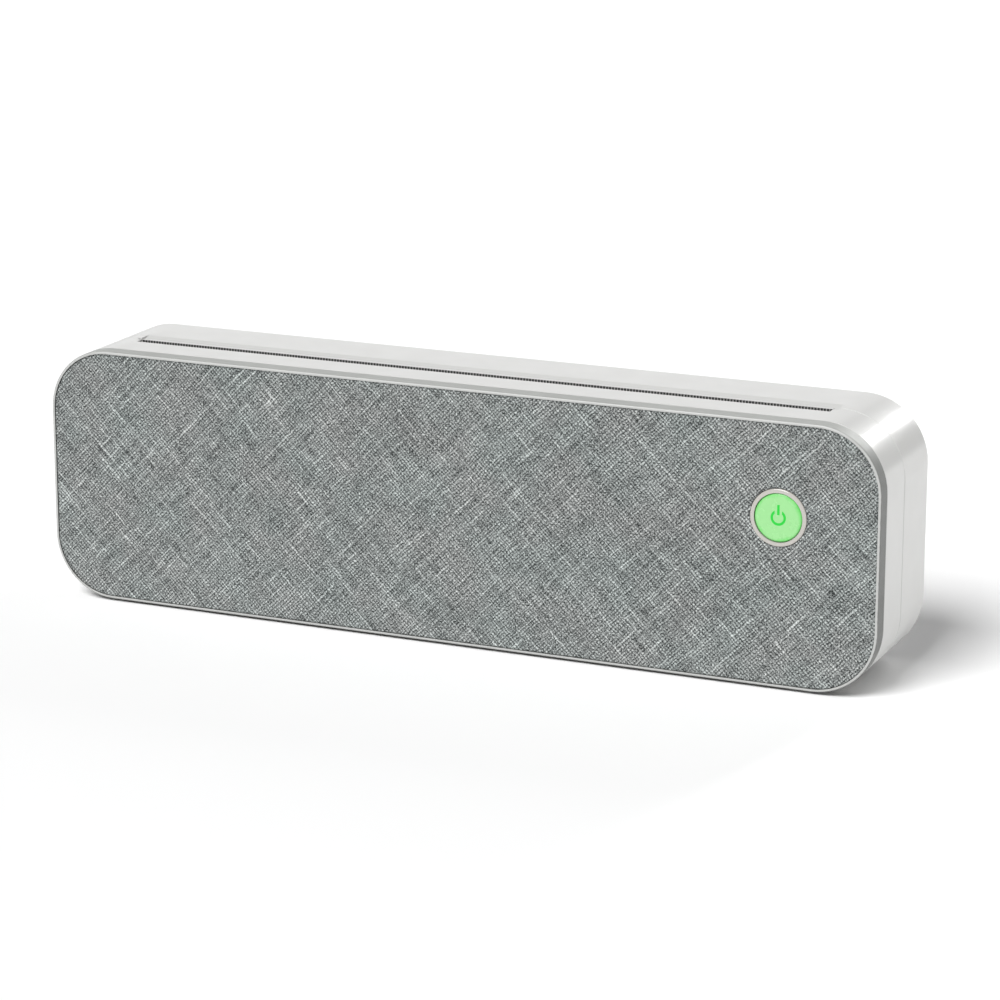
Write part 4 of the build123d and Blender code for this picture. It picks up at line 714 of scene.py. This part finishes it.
def motor_steel():
    """The motor's satin can."""
    return steel("motor_steel", (0.50, 0.50, 0.51), rough=0.32, lines=(6.0, 0.6, 0.6)).material


def pinion_brass():
    """Machined brass."""
    return steel("pinion_brass", (0.68, 0.46, 0.17), rough=0.26, lines=(6.0, 1.0, 1.0)).material


def latch_plastic():
    """Black nylon."""
    return moulding("latch_plastic", (0.022, 0.022, 0.024), rough=0.42, grain=6.0).material


def bush_plastic():
    """Natural acetal bushes."""
    return moulding("bush_plastic", (0.62, 0.58, 0.46), rough=0.36, grain=6.0).material


def gear_plastic():
    """White acetal gears."""
    return moulding("gear_plastic", (0.76, 0.75, 0.68), rough=0.34, grain=6.0).material


# ---------------------------------------------------------------- electronics
LANES_PER_MILLIMETRE = 1.4
LANES_APART = 5.3
TRACK_BREAKS = 0.09
TRACK_HALF_WIDTH = 0.22
TRACK_SHARE = 0.5
LAND_RADIUS = 0.16


def board_green():
    """Solder mask over copper: tracks lie along the board in lanes, each broken by a noise of its own, and
    they and round lands show through as a paler green."""
    finish = Finish("board_green", Coat_Weight=0.5, Coat_Roughness=0.12, Roughness=0.32)
    x, _, z = finish.split(finish.place)
    lanes = finish.times(z, LANES_PER_MILLIMETRE)
    lane = finish.work("FLOOR", lanes)
    along = finish.join(finish.times(x, TRACK_BREAKS), finish.times(lane, LANES_APART))
    run = finish.noise(along, scale=1.0, detail=0.0)
    from_middle = finish.work("ABSOLUTE", finish.minus(finish.work("FRACT", lanes), 0.5))
    narrow = finish.work("LESS_THAN", from_middle, TRACK_HALF_WIDTH)
    track = finish.times(narrow, finish.work("GREATER_THAN", run, TRACK_SHARE))
    lands = finish.work("LESS_THAN", finish.cells(finish.place, 0.3, "Distance"), LAND_RADIUS)
    copper = finish.work("MAXIMUM", track, lands)
    finish.colour(finish.blend(copper, (0.006, 0.075, 0.032), (0.018, 0.16, 0.06)))
    finish.bump(copper, 20 * MICRON)
    return finish.material


def black_component():
    """Moulded chip packages."""
    return moulding("black_component", (0.016, 0.016, 0.018), rough=0.5, grain=8.0).material


def white_component():
    """Natural nylon connectors."""
    return moulding("white_component", (0.70, 0.68, 0.60), rough=0.4, grain=6.0).material


def socket_steel():
    """The charging socket's nickel shell."""
    return steel("socket_steel", (0.62, 0.61, 0.60), rough=0.16, lines=(0.5, 5.0, 5.0)).material


def shield_can():
    """The radio module's tinned can."""
    return steel("shield_can", (0.60, 0.60, 0.59), rough=0.24, lines=(1.5, 1.5, 1.5)).material


def ribbon_amber():
    """Polyimide film with copper tracks along it, one to a millimetre."""
    finish = Finish("ribbon_amber", Coat_Weight=0.7, Coat_Roughness=0.1, Roughness=0.25)
    x, _, _ = finish.split(finish.place)
    tracks = finish.work("GREATER_THAN", finish.work("FRACT", x), 0.5)
    finish.colour(finish.blend(tracks, (0.30, 0.11, 0.02), (0.46, 0.20, 0.05)))
    finish.bump(tracks, 10 * MICRON)
    return finish.material


def cell_pouch():
    """Blue shrink film with soft wrinkles."""
    blue = (0.03, 0.09, 0.26)
    return moulding("cell_pouch", blue, rough=0.24, grain=0.35, grain_height=100 * MICRON).material


def red_lead():
    """Insulated wire."""
    return moulding("red_lead", (0.40, 0.012, 0.008), rough=0.35, grain=5.0).material


PLAIN_FINISHES = {
    "paper": (
        inner_plastic,
        tear_bar_plastic,
        platen_rubber,
        head_aluminium,
        head_ceramic,
        head_glaze,
        spring_steel,
    ),
    "drive": (
        zinc_sheet,
        pin_steel,
        screw_steel,
        motor_steel,
        pinion_brass,
        latch_plastic,
        bush_plastic,
        gear_plastic,
    ),
    "boards": (
        board_green,
        black_component,
        white_component,
        socket_steel,
        shield_can,
        ribbon_amber,
        cell_pouch,
        red_lead,
    ),
}


def dress(slot, material):
    """Gives a finish to every CAD node of that material slot."""
    for piece in frame["record"]["subparts"]:
        if piece["material_slot"] != slot:
            continue
        node = NODES[piece["node"]]
        if not node.material_slots:
            node.data.materials.append(material)
        for place in node.material_slots:
            place.material = material


def dress_group(group):
    """Gives each finish of a group to the nodes of the slot with its name."""
    for make in PLAIN_FINISHES[group]:
        dress(make.__name__, make())


# ---------------------------------------------------------------- stage
# Places and sizes are in metres, the camera's and the key light's angles in degrees.
CAMERA_PLACE = Vector((0.39796, -0.88850, 0.30095))
CAMERA_YAW = -23.746
CAMERA_PITCH = -15.128
CAMERA_ROLL = 0.060
SENSOR_WIDTH = 36.0
NEAREST_SEEN = 0.01
AIM = Vector((0.0, 0.0, 0.04))
KEY_PLACE = Vector((-0.24, -0.84, 0.98))
KEY_SPREAD = 34.0
SIDE_PLACE = Vector((1.30, -0.10, 0.09))
SIDE_SIZE = (1.0, 0.17)
BACK_PLACE = Vector((-0.70, 1.75, 0.46))
BACK_SIZE = (2.2, 0.7)
STRIP_PLACE = Vector((0.345, 1.10, 0.60))
STRIP_SIZE = (0.16, 0.70)
BACKDROP_WHITE = 1.1
FLOOR_CORNERS = 96


def camera_turn(yaw, pitch, roll):
    """The camera's rotation from its heading, its tilt and its roll, in degrees."""
    yaw, pitch, roll = (math.radians(angle) for angle in (yaw, pitch, roll))
    ahead = Vector((math.sin(yaw) * math.cos(pitch), math.cos(yaw) * math.cos(pitch), math.sin(pitch)))
    right = Vector((math.cos(yaw), -math.sin(yaw), 0.0))
    up = right.cross(ahead)
    rolled_right = math.cos(roll) * right + math.sin(roll) * up
    rolled_up = -math.sin(roll) * right + math.cos(roll) * up
    return Matrix((rolled_right, rolled_up, -ahead)).transposed()


def make_camera(settings):
    """The camera at the photograph's viewing angle."""
    camera = bpy.data.objects.new("camera", bpy.data.cameras.new("camera"))
    camera.data.sensor_width = SENSOR_WIDTH
    camera.data.lens = settings.lens_length
    camera.data.clip_start = NEAREST_SEEN
    turn = camera_turn(CAMERA_YAW, CAMERA_PITCH, CAMERA_ROLL).to_4x4()
    camera.matrix_world = Matrix.Translation(CAMERA_PLACE) @ turn
    bpy.context.scene.collection.objects.link(camera)
    bpy.context.scene.camera = camera


def hang(light, place):
    """Puts a light at that place, turned to the printer."""
    lamp = bpy.data.objects.new(light.name, light)
    turn = (AIM - place).to_track_quat("-Z", "Y").to_matrix().to_4x4()
    lamp.matrix_world = Matrix.Translation(place) @ turn
    bpy.context.scene.collection.objects.link(lamp)


def make_light(name, place, power, width, height):
    """A soft rectangular light."""
    light = bpy.data.lights.new(name, "AREA")
    light.shape = "RECTANGLE"
    light.size = width
    light.size_y = height
    light.energy = power
    hang(light, place)


def make_key(strength):
    """The wide main light, so far off that it falls evenly on the whole floor."""
    light = bpy.data.lights.new("key_light", "SUN")
    light.energy = strength
    light.angle = math.radians(KEY_SPREAD)
    hang(light, KEY_PLACE)


def make_dome(strength):
    """An even light all round, which the camera sees as plain white."""
    world = bpy.data.worlds.new("studio")
    world.use_nodes = True
    tree = world.node_tree
    background = tree.nodes["Background"]
    background.inputs["Color"].default_value = (1.0, 1.0, 1.0, 1.0)
    rays = tree.nodes.new("ShaderNodeLightPath")
    seen = tree.nodes.new("ShaderNodeMapRange")
    seen.inputs["To Min"].default_value = strength
    seen.inputs["To Max"].default_value = BACKDROP_WHITE
    tree.links.new(rays.outputs["Is Camera Ray"], seen.inputs["Value"])
    tree.links.new(seen.outputs["Result"], background.inputs["Strength"])
    bpy.context.scene.world = world


def make_floor(settings):
    """A pale round floor: one flat face whose corners lie evenly on a circle round the printer."""
    finish = Finish("pale_floor", Roughness=0.9, Specular_IOR_Level=0.0)
    cloud = finish.noise(finish.place, scale=0.002)
    finish.colour(finish.blend(cloud, shade(settings.floor_colour, 0.995), tuple(settings.floor_colour)))
    turn = np.linspace(0, 2 * math.pi, FLOOR_CORNERS, endpoint=False)
    circle = np.stack([np.cos(turn), np.sin(turn), np.zeros(FLOOR_CORNERS)], axis=1)
    face = np.arange(FLOOR_CORNERS)[None]
    floor = mesh_object("floor", circle * settings.floor_radius, face, finish.material)


# ---------------------------------------------------------------- operators
class PRINTER_OT_stage(bpy.types.Operator):
    """Make the floor, the lights and the camera"""

    bl_idname = "printer.stage"
    bl_label = "Studio stage"

    def execute(self, context):
        settings = context.scene.printer_stage
        make_camera(settings)
        make_dome(settings.dome)
        make_key(settings.key)
        make_light("side_light", SIDE_PLACE, settings.side_power, *SIDE_SIZE)
        make_light("back_light", BACK_PLACE, settings.back_power, *BACK_SIZE)
        make_light("strip_light", STRIP_PLACE, settings.strip_power, *STRIP_SIZE)
        make_floor(settings)
        context.scene.view_settings.view_transform = "Standard"
        return {"FINISHED"}


class PRINTER_OT_shell(bpy.types.Operator):
    """Finish the white housing, the trim ring, the release slider and the feet"""

    bl_idname = "printer.shell"
    bl_label = "Shell and trim"

    def execute(self, context):
        settings = context.scene.printer_shell
        for make in (white_shell, grey_trim, grey_slider, foot_rubber):
            dress(make.__name__, make(settings))
        return {"FINISHED"}


class PRINTER_OT_cloth(bpy.types.Operator):
    """Make the woven cloth over the front panel"""

    bl_idname = "printer.cloth"
    bl_label = "Cloth front"

    def execute(self, context):
        cloth_front(context.scene.printer_cloth)
        return {"FINISHED"}


class PRINTER_OT_button(bpy.types.Operator):
    """Finish the power button, its bezel and its mark"""

    bl_idname = "printer.button"
    bl_label = "Power button"

    def execute(self, context):
        settings = context.scene.printer_button
        for make in (clear_grey_bezel, green_lens, dark_green_mark):
            dress(make.__name__, make(settings))
        return {"FINISHED"}


class PRINTER_OT_paper_path(bpy.types.Operator):
    """Finish the tear bar, the platen, the thermal head and the roll bay"""

    bl_idname = "printer.paper_path"
    bl_label = "Paper path"

    def execute(self, context):
        dress_group("paper")
        return {"FINISHED"}


class PRINTER_OT_drive(bpy.types.Operator):
    """Finish the gears, the motor, the side frames and the latch"""

    bl_idname = "printer.drive"
    bl_label = "Drive and latch"

    def execute(self, context):
        dress_group("drive")
        return {"FINISHED"}


class PRINTER_OT_boards(bpy.types.Operator):
    """Finish the boards, the battery and the charging socket"""

    bl_idname = "printer.boards"
    bl_label = "Boards and battery"

    def execute(self, context):
        dress_group("boards")
        return {"FINISHED"}


STEPS = (
    PRINTER_OT_stage,
    PRINTER_OT_shell,
    PRINTER_OT_cloth,
    PRINTER_OT_button,
    PRINTER_OT_paper_path,
    PRINTER_OT_drive,
    PRINTER_OT_boards,
)


class PRINTER_PT_sidebar(bpy.types.Panel):
    """Lists the printer's steps in the 3D view's sidebar"""

    bl_idname = "PRINTER_PT_sidebar"
    bl_label = "Portable thermal printer"
    bl_space_type = "VIEW_3D"
    bl_region_type = "UI"
    bl_category = "Printer"

    def draw(self, context):
        for step in STEPS:
            self.layout.operator(step.bl_idname)


SETTINGS = {
    "printer_cloth": PrinterClothSettings,
    "printer_shell": PrinterShellSettings,
    "printer_button": PrinterButtonSettings,
    "printer_stage": PrinterStageSettings,
}
CLASSES = (*SETTINGS.values(), *STEPS, PRINTER_PT_sidebar)


def register():
    """Adds the classes to Blender and the settings to its scenes."""
    for kind in CLASSES:
        bpy.utils.register_class(kind)
    for name, kind in SETTINGS.items():
        setattr(bpy.types.Scene, name, bpy.props.PointerProperty(type=kind))


def unregister():
    """Takes the settings and the classes away again."""
    for name in SETTINGS:
        delattr(bpy.types.Scene, name)
    for kind in reversed(CLASSES):
        bpy.utils.unregister_class(kind)


def main():
    """Makes the stage and every finish and piece."""
    register()
    bpy.ops.printer.stage()
    bpy.ops.printer.shell()
    bpy.ops.printer.cloth()
    bpy.ops.printer.button()
    bpy.ops.printer.paper_path()
    bpy.ops.printer.drive()
    bpy.ops.printer.boards()


if __name__ == "__main__":
    main()
